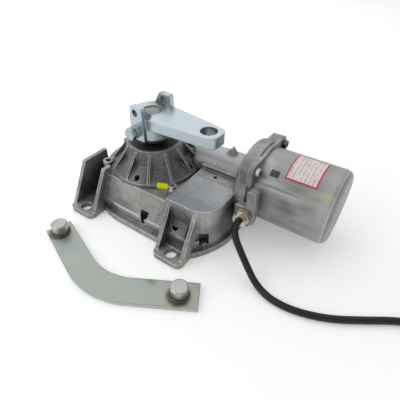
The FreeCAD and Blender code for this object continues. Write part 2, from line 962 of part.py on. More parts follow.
def inside(piece):
    """Hollows the gear case: wheel chamber, cross shaft bay, bearing seats, worm bore and bell."""
    drawn = piece.sketch("XY_Plane")
    ring(drawn, "0", "0", "cavity_round")
    piece.pocket(drawn, "cavity_top", ahead=True)
    drawn = piece.sketch("XY_Plane")
    ring(drawn, "0", "0", "mouth_round")
    piece.pocket(drawn, "deck_top", ahead=True)
    drawn = piece.sketch("XY_Plane")
    box(drawn, "bay_left", "-bay_half", "bay_right", "bay_half")
    piece.pocket(drawn, "bay_top", ahead=True)
    drawn = piece.sketch("XY_Plane")
    cover_outline(drawn, "cover_margin + fit_gap")
    piece.pocket(drawn, COVER_TOP, ahead=True)
    drawn = piece.sketch("XY_Plane")
    box(drawn, "bay_left", f"-({BAY_OUT})", "bay_right", BAY_OUT)
    piece.pocket(drawn, "main_z", ahead=True)
    drawn = piece.sketch("XZ_Plane", BAY_OUT)
    ring(drawn, CROSS_X, "main_z", "cross_bearing_half + run_gap")
    piece.pocket(drawn, f"2 * ({BAY_OUT})")
    drawn = piece.sketch("XZ_Plane", f"-({FIRST_LEFT} - wheel_room)")
    ring(drawn, CROSS_X, "main_z", "first_module * (first_teeth / 2 + 1) + wheel_room")
    piece.pocket(drawn, "first_wide + 2 * wheel_room")
    drawn = piece.sketch("YZ_Plane", NOSE_LEFT)
    ring(drawn, "motor_y", MOTOR_Z, "nose_bearing_half + run_gap")
    piece.pocket(drawn, "bell_right", ahead=True)
    drawn = piece.sketch("YZ_Plane", f"{BELL_LEFT} - front_bearing_wide")
    ring(drawn, "motor_y", MOTOR_Z, "front_bearing_half + run_gap")
    piece.pocket(drawn, "bell_right", ahead=True)
    drawn = piece.sketch("YZ_Plane", f"{BELL_LEFT} + bell_round")
    ring(drawn, "motor_y", MOTOR_Z, "bell_bore")
    piece.pocket(drawn, "bell_right", ahead=True)


def cover_outline(drawn, margin):
    """Draws the keyhole outline of the base opening, grown by a margin."""
    half = f"({BAY_OUT} + {margin})"
    radius = f"(cavity_round + {margin})"
    meet = f"sqrt({radius} ^ 2 - {half} ^ 2)"
    right = f"(bay_right + {margin})"
    outline(
        drawn,
        [
            (meet, half, radius),
            (f"-{radius}", "0", radius),
            (meet, f"-{half}"),
            (right, f"-{half}"),
            (right, half),
        ],
    )


def case_holes(piece):
    """Drills the gear case for its feet, covers, motor, terminal screw and boss hole."""
    drawn = piece.sketch("XY_Plane")
    for x, side in FEET:
        ring(drawn, x, f"{side} * (base_half + foot_hole_reach)", "foot_hole / 2")
    piece.pocket(drawn, "foot_thick + base_thick", ahead=True)
    drawn = piece.sketch("XY_Plane", "deck_top")
    for x, y in HUB_SCREWS:
        ring(drawn, x, y, "screw_four / 2 + run_gap")
    piece.pocket(drawn, "hub_screw_length")
    drawn = piece.sketch("XY_Plane")
    for x, y in PLATE_SCREWS:
        ring(drawn, x, y, "screw_five / 2 + run_gap")
    piece.pocket(drawn, f"{COVER_TOP} + plate_screw_length", ahead=True)
    drawn = piece.sketch("YZ_Plane", "bell_right")
    for y, z in EARS:
        ring(drawn, y, z, "screw_six / 2 + run_gap")
    piece.pocket(drawn, "ear_screw_length - ear_thick + drill_spare")
    drawn = piece.sketch("XY_Plane", "earth_top")
    ring(drawn, "earth_x", "earth_y", "screw_five / 2 + run_gap")
    piece.pocket(drawn, "plate_screw_length")
    drawn = piece.sketch("XY_Plane", "boss_top")
    ring(drawn, "boss_x - boss_hole", "0", "boss_hole / 2")
    piece.pocket(drawn, "boss_hole")


def base_cover():
    """The plate that closes the case from below and carries the lower output bearing, with its gasket."""
    piece = Piece("base_cover")
    drawn = piece.sketch("XY_Plane")
    cover_outline(drawn, "cover_margin")
    piece.pad(drawn, "cover_thick")
    drawn = piece.sketch("XY_Plane")
    ring(drawn, "0", "0", "bearing_half + cup_wall")
    piece.pad(drawn, f"{LOW_BEARING} + bearing_wide")
    drawn = piece.sketch("XY_Plane", LOW_BEARING)
    ring(drawn, "0", "0", "bearing_half + run_gap")
    piece.pocket(drawn, "bearing_wide", ahead=True)
    drawn = piece.sketch("XY_Plane")
    for side in (-1, 1):
        near, far = f"{side} * bay_half", f"{side} * (bay_half + cross_bearing_wide)"
        box(drawn, f"{CROSS_X} - post_half", near, f"{CROSS_X} + post_half", far)
    piece.pad(drawn, "main_z - run_gap")
    drawn = piece.sketch("XZ_Plane", BAY_OUT)
    ring(drawn, CROSS_X, "main_z", "cross_bearing_half + run_gap")
    piece.pocket(drawn, f"2 * ({BAY_OUT})")
    drawn = piece.sketch("XY_Plane")
    for x, y in PLATE_SCREWS:
        ring(drawn, x, y, "screw_five / 2 + fit_gap")
    piece.pocket(drawn, "cover_thick", ahead=True)
    drawn = piece.sketch("XY_Plane")
    for x, y in PLATE_SCREWS:
        ring(drawn, x, y, f"{HEAD_HALF} * screw_five + fit_gap")
    piece.pocket(drawn, f"{HEAD_TALL} * screw_five", ahead=True)
    node(piece.body, "base_cover")

    piece = Piece("base_gasket")
    drawn = piece.sketch("XY_Plane", "cover_thick")
    cover_outline(drawn, "cover_margin")
    cover_outline(drawn, "gasket_inset")
    for x, y in PLATE_SCREWS:
        ring(drawn, x, y, "screw_five / 2 + fit_gap")
    piece.pad(drawn, "gasket_thick")
    node(piece.body, "base_gasket")

    places = [(x, y, f"{HEAD_TALL} * screw_five") for x, y in PLATE_SCREWS]
    length = f"(cover_thick - {HEAD_TALL} * screw_five + gasket_thick + plate_screw_length - drill_spare)"
    copies("base_cover_screws", socket_screw("screw_five", length), places, "-z")


def hub_cover():
    """The ribbed top cover that carries the upper output bearing and the seal, with its gasket."""
    piece = Piece("hub_cover")
    foot_z = "deck_top + gasket_thick"
    piece.turned(
        [
            ("bearing_half + run_gap", "tower_top"),
            ("bearing_half + run_gap", HIGH_BEARING),
            ("bearing_half - bearing_lip", HIGH_BEARING),
            ("bearing_half - bearing_lip", foot_z),
            ("roof_half - hub_roof", foot_z),
            ("roof_half - hub_roof", "hub_seat"),
            ("roof_half", "hub_seat"),
            ("roof_half", foot_z),
            ("hub_round", foot_z),
            ("hub_round", "hub_edge"),
            ("hub_shoulder", "hub_edge + hub_slope / 2"),
            ("tower_foot", "hub_top"),
            ("tower_rim", "tower_top"),
        ]
    )
    drawn = piece.sketch("XZ_Plane", "-rib_thick / 2")
    outline(
        drawn,
        [
            ("tower_rim - rib_sink", "hub_edge"),
            ("rib_reach", "hub_edge"),
            ("rib_reach", "hub_edge + hub_slope / 2 + rib_foot"),
            ("tower_rim + rib_foot", "rib_top"),
            ("tower_rim - rib_sink", "rib_top"),
        ],
    )
    rib = piece.pad(drawn, "rib_thick")
    pattern = piece.body.newObject("PartDesign::PolarPattern", "Ribs")
    pattern.Originals = [rib]
    pattern.Axis = (piece.plane("Z_Axis"), [""])
    pattern.Angle = 360
    bind(pattern, Occurrences="rib_count")
    piece.body.Tip = pattern
    drawn = piece.sketch("XY_Plane", foot_z)
    for x, y in LOBES:
        ring(drawn, x, y, "lobe_half")
    piece.pad(drawn, f"lobe_top - ({foot_z})")
    drawn = piece.sketch("XY_Plane", "hub_seat")
    for x, y in HUB_SCREWS:
        ring(drawn, x, y, f"{HEAD_HALF} * screw_four + fit_gap")
    piece.pocket(drawn, "tower_top", ahead=True)
    drawn = piece.sketch("XY_Plane")
    for x, y in HUB_SCREWS:
        ring(drawn, x, y, "screw_four / 2 + fit_gap")
    piece.pocket(drawn, "tower_top", ahead=True)
    tube_notch(piece)
    node(piece.body, "hub_cover")

    piece = Piece("hub_gasket")
    drawn = piece.sketch("XY_Plane", "deck_top")
    ring(drawn, "0", "0", "hub_round")
    ring(drawn, "0", "0", "mouth_round")
    for angle in HUB_SCREW_ANGLES:
        ring(drawn, *around("hub_screw_round", angle), "screw_four / 2 + fit_gap")
    piece.pad(drawn, "gasket_thick")
    tube_notch(piece)
    node(piece.body, "hub_gasket")

    places = [(x, y, "hub_seat") for x, y in HUB_SCREWS]
    length = "(hub_seat - deck_top + hub_screw_length - drill_spare)"
    copies("hub_cover_screws", socket_screw("screw_four", length), places, "+z")


def tube_notch(piece):
    """Cuts the room for the worm tube out of a piece of the hub cover."""
    drawn = piece.sketch("YZ_Plane", "tube_left - fit_gap")
    ring(drawn, "motor_y", MOTOR_Z, "tube_half + fit_gap")
    piece.pocket(drawn, "hub_round", ahead=True)


def bearing(half, wide, shaft, base, axis):
    """A sealed ball bearing as its two rings.

    Args:
        half: outer radius.
        wide: width.
        shaft: radius of the shaft in it.
        base: its low end on the axis.
        axis: direction of the axis.
    Returns:
        The outer ring and the inner ring.
    """
    split = f"({half} + {shaft}) / 2"
    outer = [(half, "0"), (half, wide), (f"{split} + race_gap / 2", wide), (f"{split} + race_gap / 2", "0")]
    inner = [(f"{split} - race_gap / 2", "0"), (f"{split} - race_gap / 2", wide), (shaft, wide), (shaft, "0")]
    return turned("outer_ring", outer, base, axis), turned("inner_ring", inner, base, axis)


def swung(label, thing):
    """Turns a piece that is modelled with the crank along +X to where the crank stands."""
    made = group(label, [thing])
    made.Placement = FreeCAD.Placement(V(), FreeCAD.Rotation(V(0, 0, 1), number("crank_turn")))
    return made


def key(label, half, low, high):
    """A parallel key that is half in a shaft and half in its hub, on the crank's own +Y side."""
    piece = Piece(label)
    drawn = piece.sketch("XY_Plane", low)
    box(drawn, "-key_wide / 2", f"{half} - key_tall / 2", "key_wide / 2", f"{half} + key_tall / 2")
    piece.pad(drawn, f"({high}) - ({low})")
    return piece.body


def output_train():
    """The output shaft with its bearings, seal, main wheel and keys."""
    wheel_low, wheel_high = "main_z - main_wide / 2", "main_z + main_wide / 2"
    key_low, key_high = f"{wheel_low} + wheel_key_inset", f"{wheel_high} - wheel_key_inset"
    wheel_key = key("wheel_key", "wheel_seat", key_low, key_high)
    crank_key = key("crank_key", "crank_bore", "crank_foot + crank_key_inset", "crank_top - crank_key_inset")
    shaft = turned(
        "shaft_blank",
        [
            ("0", "shaft_foot"),
            ("shaft_half", "shaft_foot"),
            ("shaft_half", f"{LOW_BEARING} + bearing_wide"),
            ("wheel_seat", f"{LOW_BEARING} + bearing_wide"),
            ("wheel_seat", wheel_high),
            ("wheel_seat + collar_rise", wheel_high),
            ("wheel_seat + collar_rise", f"{wheel_high} + collar_wide"),
            ("shaft_half", f"{wheel_high} + collar_wide"),
            ("shaft_half", "crank_foot"),
            ("crank_bore", "crank_foot"),
            ("crank_bore", "crank_top - shaft_end_drop"),
            ("0", "crank_top - shaft_end_drop"),
        ],
    )
    swung("output_shaft", cut(cut(shaft, wheel_key), crank_key))
    swung("crank_key", crank_key)
    turned_key = swung("wheel_key", wheel_key)
    toothed = shaped(
        wheel_shape(
            number("main_module"),
            int(number("main_teeth")),
            number("main_wide"),
            number("main_backlash"),
            number("cross_worm_half"),
        ),
        ("0", "0", "main_z"),
        "+z",
        "main_wheel_blank",
    )
    bore = cylinder("wheel_seat", "main_wide", ("0", "0", wheel_low))
    node(cut(cut(toothed, bore), turned_key), "main_wheel")

    pairs = [
        bearing("bearing_half", "bearing_wide", "shaft_half", ("0", "0", z), "+z")
        for z in (LOW_BEARING, HIGH_BEARING)
    ]
    group("output_bearing_outers", [pair[0] for pair in pairs])
    group("output_bearing_inners", [pair[1] for pair in pairs])
    node(
        turned(
            "shaft_seal",
            [
                ("bearing_half", "tower_top - seal_wide"),
                ("bearing_half", "tower_top"),
                ("bearing_half - seal_rim", "tower_top"),
                ("shaft_half + 2 * seal_rim", "tower_top - seal_rim"),
                ("shaft_half + run_gap", "tower_top"),
                ("shaft_half + run_gap", "tower_top - seal_rim - seal_lip"),
                ("shaft_half + seal_rim", "tower_top - seal_wide"),
            ],
        ),
        "shaft_seal",
    )
    return crank_key


def crank(crank_key):
    """The crank: hub, tapered arm with its pin hole, two cheeks and the stop bolt with its lock nut."""
    piece = Piece("crank_blank")
    drawn = piece.sketch("XY_Plane", "crank_foot")
    ring(drawn, "0", "0", "crank_hub_half")
    piece.pad(drawn, "crank_top - crank_foot")
    drawn = piece.sketch("XY_Plane", "crank_top - arm_thick")
    outline(
        drawn,
        [
            ("0", "-arm_root_half"),
            ("arm_root_x", "-arm_root_half"),
            ("arm_end - arm_tip_round", "-arm_tip_half", "arm_tip_round"),
            ("arm_end", "arm_tip_round - arm_tip_half"),
            ("arm_end", "arm_tip_half - arm_tip_round", "arm_tip_round"),
            ("arm_end - arm_tip_round", "arm_tip_half"),
            ("arm_root_x", "arm_root_half"),
            ("0", "arm_root_half"),
        ],
    )
    piece.pad(drawn, "arm_thick")
    for at, left in (("cheek_out - cheek_thick", "near_cheek_left"), ("-cheek_out", "far_cheek_left")):
        drawn = piece.sketch("XZ_Plane", at)
        outline(
            drawn,
            [
                (f"-{left}", "crank_foot"),
                ("cheek_right", "crank_foot"),
                ("cheek_right", "cheek_top - cheek_round", "cheek_round"),
                ("cheek_right - cheek_round", "cheek_top"),
                ("-cheek_crown", "cheek_top"),
                (f"-{left}", "cheek_bend_z"),
            ],
        )
        piece.pad(drawn, "cheek_thick")
    drawn = piece.sketch("YZ_Plane", "-cheek_crown")
    outline(
        drawn,
        [
            ("cheek_thick - cheek_out", "crank_top - arm_thick"),
            ("cheek_thick - cheek_out + wedge_deep", "crank_top - arm_thick"),
            ("cheek_thick - cheek_out + wedge_deep", "crank_top"),
            ("cheek_thick - cheek_out", "wedge_top"),
        ],
    )
    piece.pad(drawn, "cheek_crown + cheek_right")
    drawn = piece.sketch("XY_Plane", "crank_top")
    ring(drawn, "0", "0", "crank_bore")
    ring(drawn, "arm_pin_x", "0", "pin_hole / 2")
    piece.pocket(drawn, "crank_top - crank_foot")
    drawn = piece.sketch("XZ_Plane", "cheek_out")
    ring(drawn, "0", "cheek_hole_z", "cheek_hole / 2")
    piece.pocket(drawn, "2 * cheek_out")
    drawn = piece.sketch("XZ_Plane", "cheek_out")
    ring(drawn, "stop_bolt_x", "stop_bolt_z", "screw_eight / 2 + run_gap")
    piece.pocket(drawn, "cheek_out")
    swung("crank_arm", cut(piece.body, crank_key))

    circum = f"{HEX_ACROSS} * screw_eight / sqrt(3)"
    tip = "crank_bore + fit_gap"
    nut_tall = f"{NUT_TALL} * screw_eight"
    face = f"cheek_out + {nut_tall} + stop_bolt_spare"
    head_at = ("stop_bolt_x", f"-({face})", "stop_bolt_z")
    head = hexagon(circum, f"{HEX_HEAD_TALL} * screw_eight", head_at, "-y")
    shank_at = ("stop_bolt_x", f"-({tip})", "stop_bolt_z")
    shank = cylinder("screw_eight / 2", f"{face} - ({tip})", shank_at, "-y")
    swung("stop_bolt", fuse(head, shank))
    nut = hexagon(circum, nut_tall, ("stop_bolt_x", "-cheek_out", "stop_bolt_z"), "-y")
    hole = cylinder("screw_eight / 2 + run_gap", nut_tall, ("stop_bolt_x", "-cheek_out", "stop_bolt_z"), "-y")
    swung("stop_bolt_nut", cut(nut, hole))


def cross_train():
    """The cross shaft with its worm, the first wheel, its spacer and its bearings."""
    middle = (CROSS_X, "0", "main_z")
    core = f"cross_worm_half - {DEDENDUM} * main_module"
    front, rear = "-(bay_half + cross_bearing_wide)", "bay_half + cross_bearing_wide"
    blank = turned(
        "cross_blank",
        [
            ("0", front),
            ("cross_shaft_half", front),
            ("cross_shaft_half", "-bay_half"),
            (core, "-bay_half"),
            (core, FIRST_LEFT),
            ("first_seat", FIRST_LEFT),
            ("first_seat", f"{FIRST_LEFT} + first_wide"),
            ("cross_shaft_half", f"{FIRST_LEFT} + first_wide"),
            ("cross_shaft_half", rear),
            ("0", rear),
        ],
        middle,
        "+y",
    )
    thread = shaped(
        worm_thread(
            number("main_module"),
            number("cross_worm_half"),
            number("cross_worm_length"),
            number("main_backlash"),
            math.pi,
        ),
        middle,
        "+y",
        "cross_thread",
    )
    node(fuse(blank, thread), "cross_shaft")
    wheel = shaped(
        wheel_shape(
            number("first_module"),
            int(number("first_teeth")),
            number("first_wide"),
            number("first_backlash"),
            number("motor_worm_half"),
        ),
        (CROSS_X, "motor_y", "main_z"),
        "+y",
        "first_wheel_blank",
    )
    wheel.Placement.Rotation = TURNS["+y"].multiply(FreeCAD.Rotation(V(0, 0, 1), -90))
    bore = cylinder("first_seat", "first_wide", (CROSS_X, FIRST_LEFT, "main_z"), "+y")
    node(cut(wheel, bore), "first_wheel")
    spacer_from, spacer_to = f"{FIRST_LEFT} + first_wide", "bay_half"
    node(
        turned(
            "wheel_spacer",
            [
                ("cross_shaft_half", spacer_from),
                ("spacer_half", spacer_from),
                ("spacer_half", spacer_to),
                ("cross_shaft_half", spacer_to),
            ],
            middle,
            "+y",
        ),
        "wheel_spacer",
    )
    pairs = [
        bearing("cross_bearing_half", "cross_bearing_wide", "cross_shaft_half", (CROSS_X, y, "main_z"), "+y")
        for y in (front, "bay_half")
    ]
    group("cross_bearing_outers", [pair[0] for pair in pairs])
    group("cross_bearing_inners", [pair[1] for pair in pairs])


def motor():
    """The motor: can with its ears, stator, rotor shaft with the first worm, and bearings."""
    piece = Piece("motor_can")
    drawn = piece.sketch("YZ_Plane", "bell_right")
    ring(drawn, "motor_y", MOTOR_Z, "bell_half - ear_thick / 2")
    piece.pad(drawn, "ear_thick")
    drawn = piece.sketch("YZ_Plane", "bell_right")
    ring(drawn, "motor_y", MOTOR_Z, "can_half")
    piece.pad(drawn, "can_right - bell_right")
    piece.rounded("can_round", lambda edge: edge.BoundBox.XMin > number("can_right") - 0.01)
    drawn = piece.sketch("YZ_Plane", "bell_right")
    lobed(drawn)
    piece.pad(drawn, "ear_thick")
    drawn = piece.sketch("YZ_Plane", "bell_right")
    ring(drawn, "motor_y", MOTOR_Z, "can_bore")
    piece.pocket(drawn, "can_right - can_end - bell_right", ahead=True)
    drawn = piece.sketch("YZ_Plane", REAR_BEARING)
    ring(drawn, "motor_y", MOTOR_Z, "rear_bearing_half + can_end")
    ring(drawn, "motor_y", MOTOR_Z, "rear_bearing_half + run_gap")
    piece.pad(drawn, "rear_bearing_wide + can_end / 2")
    drawn = piece.sketch("YZ_Plane", "bell_right")
    for y, z in EARS:
        ring(drawn, y, z, "screw_six / 2 + fit_gap")
    piece.pocket(drawn, "ear_thick", ahead=True)
    node(piece.body, "motor_can")
    places = [("bell_right + ear_thick", y, z) for y, z in EARS]
    copies("motor_screws", socket_screw("screw_six", "ear_screw_length"), places, "+x")

    axis = ("0", "motor_y", MOTOR_Z)
    stator_right = "stator_left + stator_length"
    node(
        turned(
            "stator_core",
            [
                ("stator_bore", "stator_left"),
                ("can_bore - run_gap", "stator_left"),
                ("can_bore - run_gap", stator_right),
                ("stator_bore", stator_right),
            ],
            axis,
            "+x",
        ),
        "stator_core",
    )
    ends = []
    for low in ("stator_left - winding_long", stator_right):
        high = f"{low} + winding_long"
        corners = [("winding_in", low), ("winding_out", low), ("winding_out", high), ("winding_in", high)]
        ends.append(turned("winding_end", corners, axis, "+x"))
    group("stator_windings", ends)

    core = f"motor_worm_half - {DEDENDUM} * first_module"
    front_left, front_right = f"{BELL_LEFT} - front_bearing_wide", BELL_LEFT
    rear_right = f"{REAR_BEARING} + rear_bearing_wide"
    blank = turned(
        "rotor_blank",
        [
            ("0", NOSE_LEFT),
            ("nose_shaft_half", NOSE_LEFT),
            ("nose_shaft_half", f"{NOSE_LEFT} + nose_bearing_wide"),
            (core, f"{NOSE_LEFT} + nose_bearing_wide"),
            (core, front_left),
            ("motor_shaft_half", front_left),
            ("motor_shaft_half", REAR_BEARING),
            ("rear_shaft_half", REAR_BEARING),
            ("rear_shaft_half", rear_right),
            ("0", rear_right),
        ],
        axis,
        "+x",
    )
    thread = shaped(
        worm_thread(
            number("first_module"),
            number("motor_worm_half"),
            number("motor_worm_length"),
            number("first_backlash"),
            0.0,
        ),
        (CROSS_X, "motor_y", MOTOR_Z),
        "+x",
        "motor_thread",
    )
    node(fuse(blank, thread), "rotor_shaft")
    node(
        turned(
            "rotor_core",
            [
                ("motor_shaft_half", "stator_left"),
                ("stator_bore - air_gap", "stator_left"),
                ("stator_bore - air_gap", stator_right),
                ("motor_shaft_half", stator_right),
            ],
            axis,
            "+x",
        ),
        "rotor_core",
    )
    pairs = [
        bearing("nose_bearing_half", "nose_bearing_wide", "nose_shaft_half", (NOSE_LEFT, *axis[1:]), "+x"),
        bearing(
            "front_bearing_half", "front_bearing_wide", "motor_shaft_half", (front_left, *axis[1:]), "+x"
        ),
        bearing("rear_bearing_half", "rear_bearing_wide", "rear_shaft_half", (REAR_BEARING, *axis[1:]), "+x"),
    ]
    group("motor_bearing_outers", [pair[0] for pair in pairs])
    group("motor_bearing_inners", [pair[1] for pair in pairs])


def earth_terminal():
    """The earth screw on its boss, its ring lug and the yellow sleeve over the lug's barrel."""
    lean = FreeCAD.Rotation(V(0, 0, 1), number("lug_turn"))
    lean = lean.multiply(FreeCAD.Rotation(V(0, 1, 0), number("lug_lean") - 90))

    rim = (
        "earth_x - lug_half * cos(lug_turn)",
        "earth_y - lug_half * sin(lug_turn)",
        "earth_top + lug_barrel + run_gap",
    )

    def along(radius, reach, length):
        """A bound cylinder on the leaning axis of the lug's barrel, from a reach past the eye's rim."""
        made = cylinder(radius, length, rim)
        made.Placement.Rotation = lean
        for letter, start, share in zip("xyz", rim, lean.multVec(V(0, 0, 1))):
            made.setExpression(f"Placement.Base.{letter}", bound(f"{start} + {share} * ({reach})"))
        return made

    eye = cut(
        cylinder("lug_half", "lug_thick", ("earth_x", "earth_y", "earth_top")),
        cylinder("screw_five / 2 + fit_gap", "lug_thick", ("earth_x", "earth_y", "earth_top")),
    )
    barrel = along("lug_barrel", "-lug_sink", "lug_sink + sleeve_gap + sleeve_length")
    node(fuse(eye, barrel), "earth_lug")
    sleeve = along("sleeve_half", "sleeve_gap", "sleeve_length")
    room = along("lug_barrel + run_gap", "sleeve_gap", "sleeve_length")
    node(cut(sleeve, room), "earth_sleeve")
    screw = socket_screw("screw_five", "(lug_thick + plate_screw_length - drill_spare)")
    copies("earth_screw", screw, [("earth_x", "earth_y", "earth_top + lug_thick")], "+z")


def gland():
    """The cable entry: zinc block on the bell, fibre washer, hexagon body and clamping nut."""
    low, high = "gland_z - gland_block / 2", "gland_z + gland_block / 2"
    step, bend = "gland_block_right - gland_tongue", "gland_block_round"
    piece = Piece("gland_block")
    drawn = piece.sketch("XZ_Plane", "-gland_seat")
    outline(
        drawn,
        [
            (f"gland_block_left + {bend}", low),
            (f"gland_block_right - {bend}", low, bend),
            ("gland_block_right", f"{low} + {bend}"),
            ("gland_block_right", f"gland_tongue_top - {bend}", bend),
            (f"gland_block_right - {bend}", "gland_tongue_top"),
            (f"{step} + {bend}", "gland_tongue_top", bend),
            (step, f"gland_tongue_top - {bend}"),
            (step, f"{high} + {bend}", f"-{bend}"),
            (f"{step} - {bend}", high),
            (f"gland_block_left + {bend}", high, bend),
            ("gland_block_left", f"{high} - {bend}"),
            ("gland_block_left", f"{low} + {bend}", bend),
        ],
    )
    piece.pad(drawn, "gland_seat - gland_block_front")
    node(piece.body, "gland_block")
    at = ("gland_x", "gland_block_front", "gland_z")
    node(cylinder("gland_hex / 2", "gland_washer", at, "-y"), "gland_washer")
    at = ("gland_x", "gland_block_front - gland_washer", "gland_z")
    node(hexagon("gland_hex / sqrt(3)", "gland_body", at, "-y"), "gland_body")
    at = ("gland_x", GLAND_FACE, "gland_z")
    nut = cylinder("gland_nut_half", "gland_nut", at, "-y")
    node(cut(nut, cylinder("cord_wide / 2 + fit_gap", "gland_nut", at, "-y")), "gland_nut")


def cord():
    """The motor lead: a tube along its free run, and a coil of the rest with its tie and bare cores."""
    points = [V(*point) for point in CORD_ROUTE]
    edges, last = [], points[0]
    length = 0.0
    for before, here, after in zip(points, points[1:], points[2:]):
        back, ahead = (before - here), (after - here)
        turn = math.pi - back.getAngle(ahead)
        reach = ARC_SHARE * min(back.Length, ahead.Length)
        radius = reach / math.tan(turn / 2)
        enter, leave = here + back.normalize() * reach, here + ahead.normalize() * reach
        inward = (back + ahead).normalize()
        middle = here + inward * (radius / math.cos(turn / 2) - radius)
        edges.append(Part.LineSegment(last, enter).toShape())
        edges.append(Part.Arc(enter, middle, leave).toShape())
        last = leave
        print(f"cord radius {radius:.1f} after a run of {(here - before).Length:.1f}")
    edges.append(Part.LineSegment(last, points[-1]).toShape())
    path = Part.Wire(edges)
    half = number("cord_wide / 2")
    start = (points[1] - points[0]).normalize()
    section = Part.Wire(Part.Circle(points[0], start, half).toShape())
    tube = path.makePipeShell([section], True, True)
    share = tube.Volume / (math.pi * half**2 * path.Length)
    print(f"cord volume share {share:.4f}, length {path.Length:.1f}")
    made = doc.addObject("Part::Feature", "cord_lead")
    made.Shape = tube
    node(made, "cord_lead")

    piece = Piece("cord_coil")
    layers = "2 * cord_wide"
    piece.turned([(COIL_IN, "0"), (COIL_OUT, "0"), (COIL_OUT, layers), (COIL_IN, layers)])
    top = piece.turned(
        [(COIL_IN, layers), ("coil_half", layers), ("coil_half", "3 * cord_wide"), (COIL_IN, "3 * cord_wide")]
    )
    top.Angle = COIL_LAST_TURN
    place(piece.body, ("coil_x", "coil_y", "coil_lift"), "+z", -90)
    node(piece.body, "cord_coil")

    deep = f"{COIL_OUT} - {COIL_IN} + 2 * fit_gap"
    tall = "3 * cord_wide + fit_gap"
    low = f"coil_y + {COIL_IN} - fit_gap"
    room = block("tie_wide", deep, tall, ("coil_x - tie_wide / 2", low, "coil_lift"))
    band = block(
        "tie_wide",
        f"{deep} + 2 * coil_lift",
        f"{tall} + 2 * coil_lift",
        ("coil_x - tie_wide / 2", f"{low} - coil_lift", "0"),
    )
    node(cut(band, room), "cord_tie")
    cores = [
        cylinder(
            "core_half",
            "core_length",
            (
                f"coil_x - coil_half + cord_wide / 2 + {step} * core_pitch",
                "coil_y - fit_gap",
                f"coil_lift + {layers} + core_half + fit_gap",
            ),
            "-y",
        )
        for step in (-1, 0, 1)
    ]
    group("cord_cores", cores)


def link():
    """The bent link bar with its two pins, in its own frame with the bend at the origin."""
    half_bend = "link_bend / 2"
    centre = f"(link_round + link_half) / cos({half_bend})"
    outer_x = f"(link_round + 2 * link_half) * sin({half_bend})"
    outer_y = f"{centre} - (link_round + 2 * link_half) * cos({half_bend})"
    inner_x, inner_y = f"link_round * sin({half_bend})", f"{centre} - link_round * cos({half_bend})"
    far_x = f"link_arm * cos({half_bend}) + link_half * sin({half_bend})"
    far_y = f"link_arm * sin({half_bend}) - link_half * cos({half_bend})"
    near_x = f"link_arm * cos({half_bend}) - link_half * sin({half_bend})"
    near_y = f"link_arm * sin({half_bend}) + link_half * cos({half_bend})"
    piece = Piece("link_blank")
    drawn = piece.sketch("XY_Plane")
    outline(
        drawn,
        [
            (f"-({outer_x})", outer_y, "link_round + 2 * link_half"),
            (outer_x, outer_y),
            (far_x, far_y),
            (near_x, near_y),
            (inner_x, inner_y, "-link_round"),
            (f"-({inner_x})", inner_y),
            (f"-({near_x})", near_y),
            (f"-({far_x})", far_y),
        ],
    )
    piece.pad(drawn, "link_thick")
    place(piece.body, ("link_x", "link_y", "0"), "+z", number("link_turn"))
    node(piece.body, "link_bar")
    pins = Piece("link_pin")
    pins.turned(
        [
            ("0", "link_thick"),
            ("link_collar", "link_thick"),
            ("link_collar", "link_thick + link_collar_rise / 2"),
            ("link_collar - link_collar_rise / 2", "link_thick + link_collar_rise"),
            ("link_pin / 2", "link_thick + link_collar_rise"),
            ("link_pin / 2", "link_thick + link_pin_rise - link_pin_bevel"),
            ("link_pin / 2 - link_pin_bevel", "link_thick + link_pin_rise"),
            ("0", "link_thick + link_pin_rise"),
        ]
    )
    places = []
    for side, reach in ((1, "link_near_reach"), (-1, "link_far_reach")):
        angle = f"({half_bend} + {side} * link_turn)"
        places.append((f"link_x + {side} * {reach} * cos{angle}", f"link_y + {reach} * sin{angle}", "0"))
    copies("link_pins", pins.body, places, "+z")


gear_case()
base_cover()
hub_cover()
crank(output_train())
cross_train()
motor()
earth_terminal()
gland()
cord()
link()
doc.recompute()

failed = [thing.Label for thing in doc.Objects if "Invalid" in thing.State or "Error" in thing.State]
failed += [label for label, thing in nodes.items() if thing.Shape.isNull() or not thing.Shape.isValid()]
if failed:
    raise RuntimeError(f"these did not build: {failed}")
os.makedirs("parts", exist_ok=True)
for label, thing in nodes.items():
    thing.Shape.exportStep(f"parts/{label}.step")
print(f"{len(nodes)} pieces written")
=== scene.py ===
"""Looks of an underground gate operator: finishes, lead, blank plates, studio and camera."""

import logging
import math
from abc import ABC, abstractmethod
from collections.abc import Callable, Iterator, Mapping, Sequence
from contextlib import contextmanager
from dataclasses import dataclass
from enum import Enum

import bpy
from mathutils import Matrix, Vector


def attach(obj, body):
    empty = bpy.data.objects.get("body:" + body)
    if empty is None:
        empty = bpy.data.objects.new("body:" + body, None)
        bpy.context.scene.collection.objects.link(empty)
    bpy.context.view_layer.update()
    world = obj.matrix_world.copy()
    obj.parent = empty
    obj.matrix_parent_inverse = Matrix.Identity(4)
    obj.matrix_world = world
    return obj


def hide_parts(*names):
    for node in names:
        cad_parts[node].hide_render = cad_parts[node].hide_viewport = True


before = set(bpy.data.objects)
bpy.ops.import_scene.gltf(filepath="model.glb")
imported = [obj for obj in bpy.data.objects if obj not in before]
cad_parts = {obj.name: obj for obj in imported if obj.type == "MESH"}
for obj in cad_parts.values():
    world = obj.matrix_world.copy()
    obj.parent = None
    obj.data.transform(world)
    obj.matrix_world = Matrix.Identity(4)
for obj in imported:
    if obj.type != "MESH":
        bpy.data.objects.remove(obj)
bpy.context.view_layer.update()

MM = 0.001
LOG = logging.getLogger("gate_operator")

Colour = tuple[float, float, float]
Point = tuple[float, float, float]

ORIGIN: Point = (0.0, 0.0, 0.0)
EVEN: Point = (1.0, 1.0, 1.0)

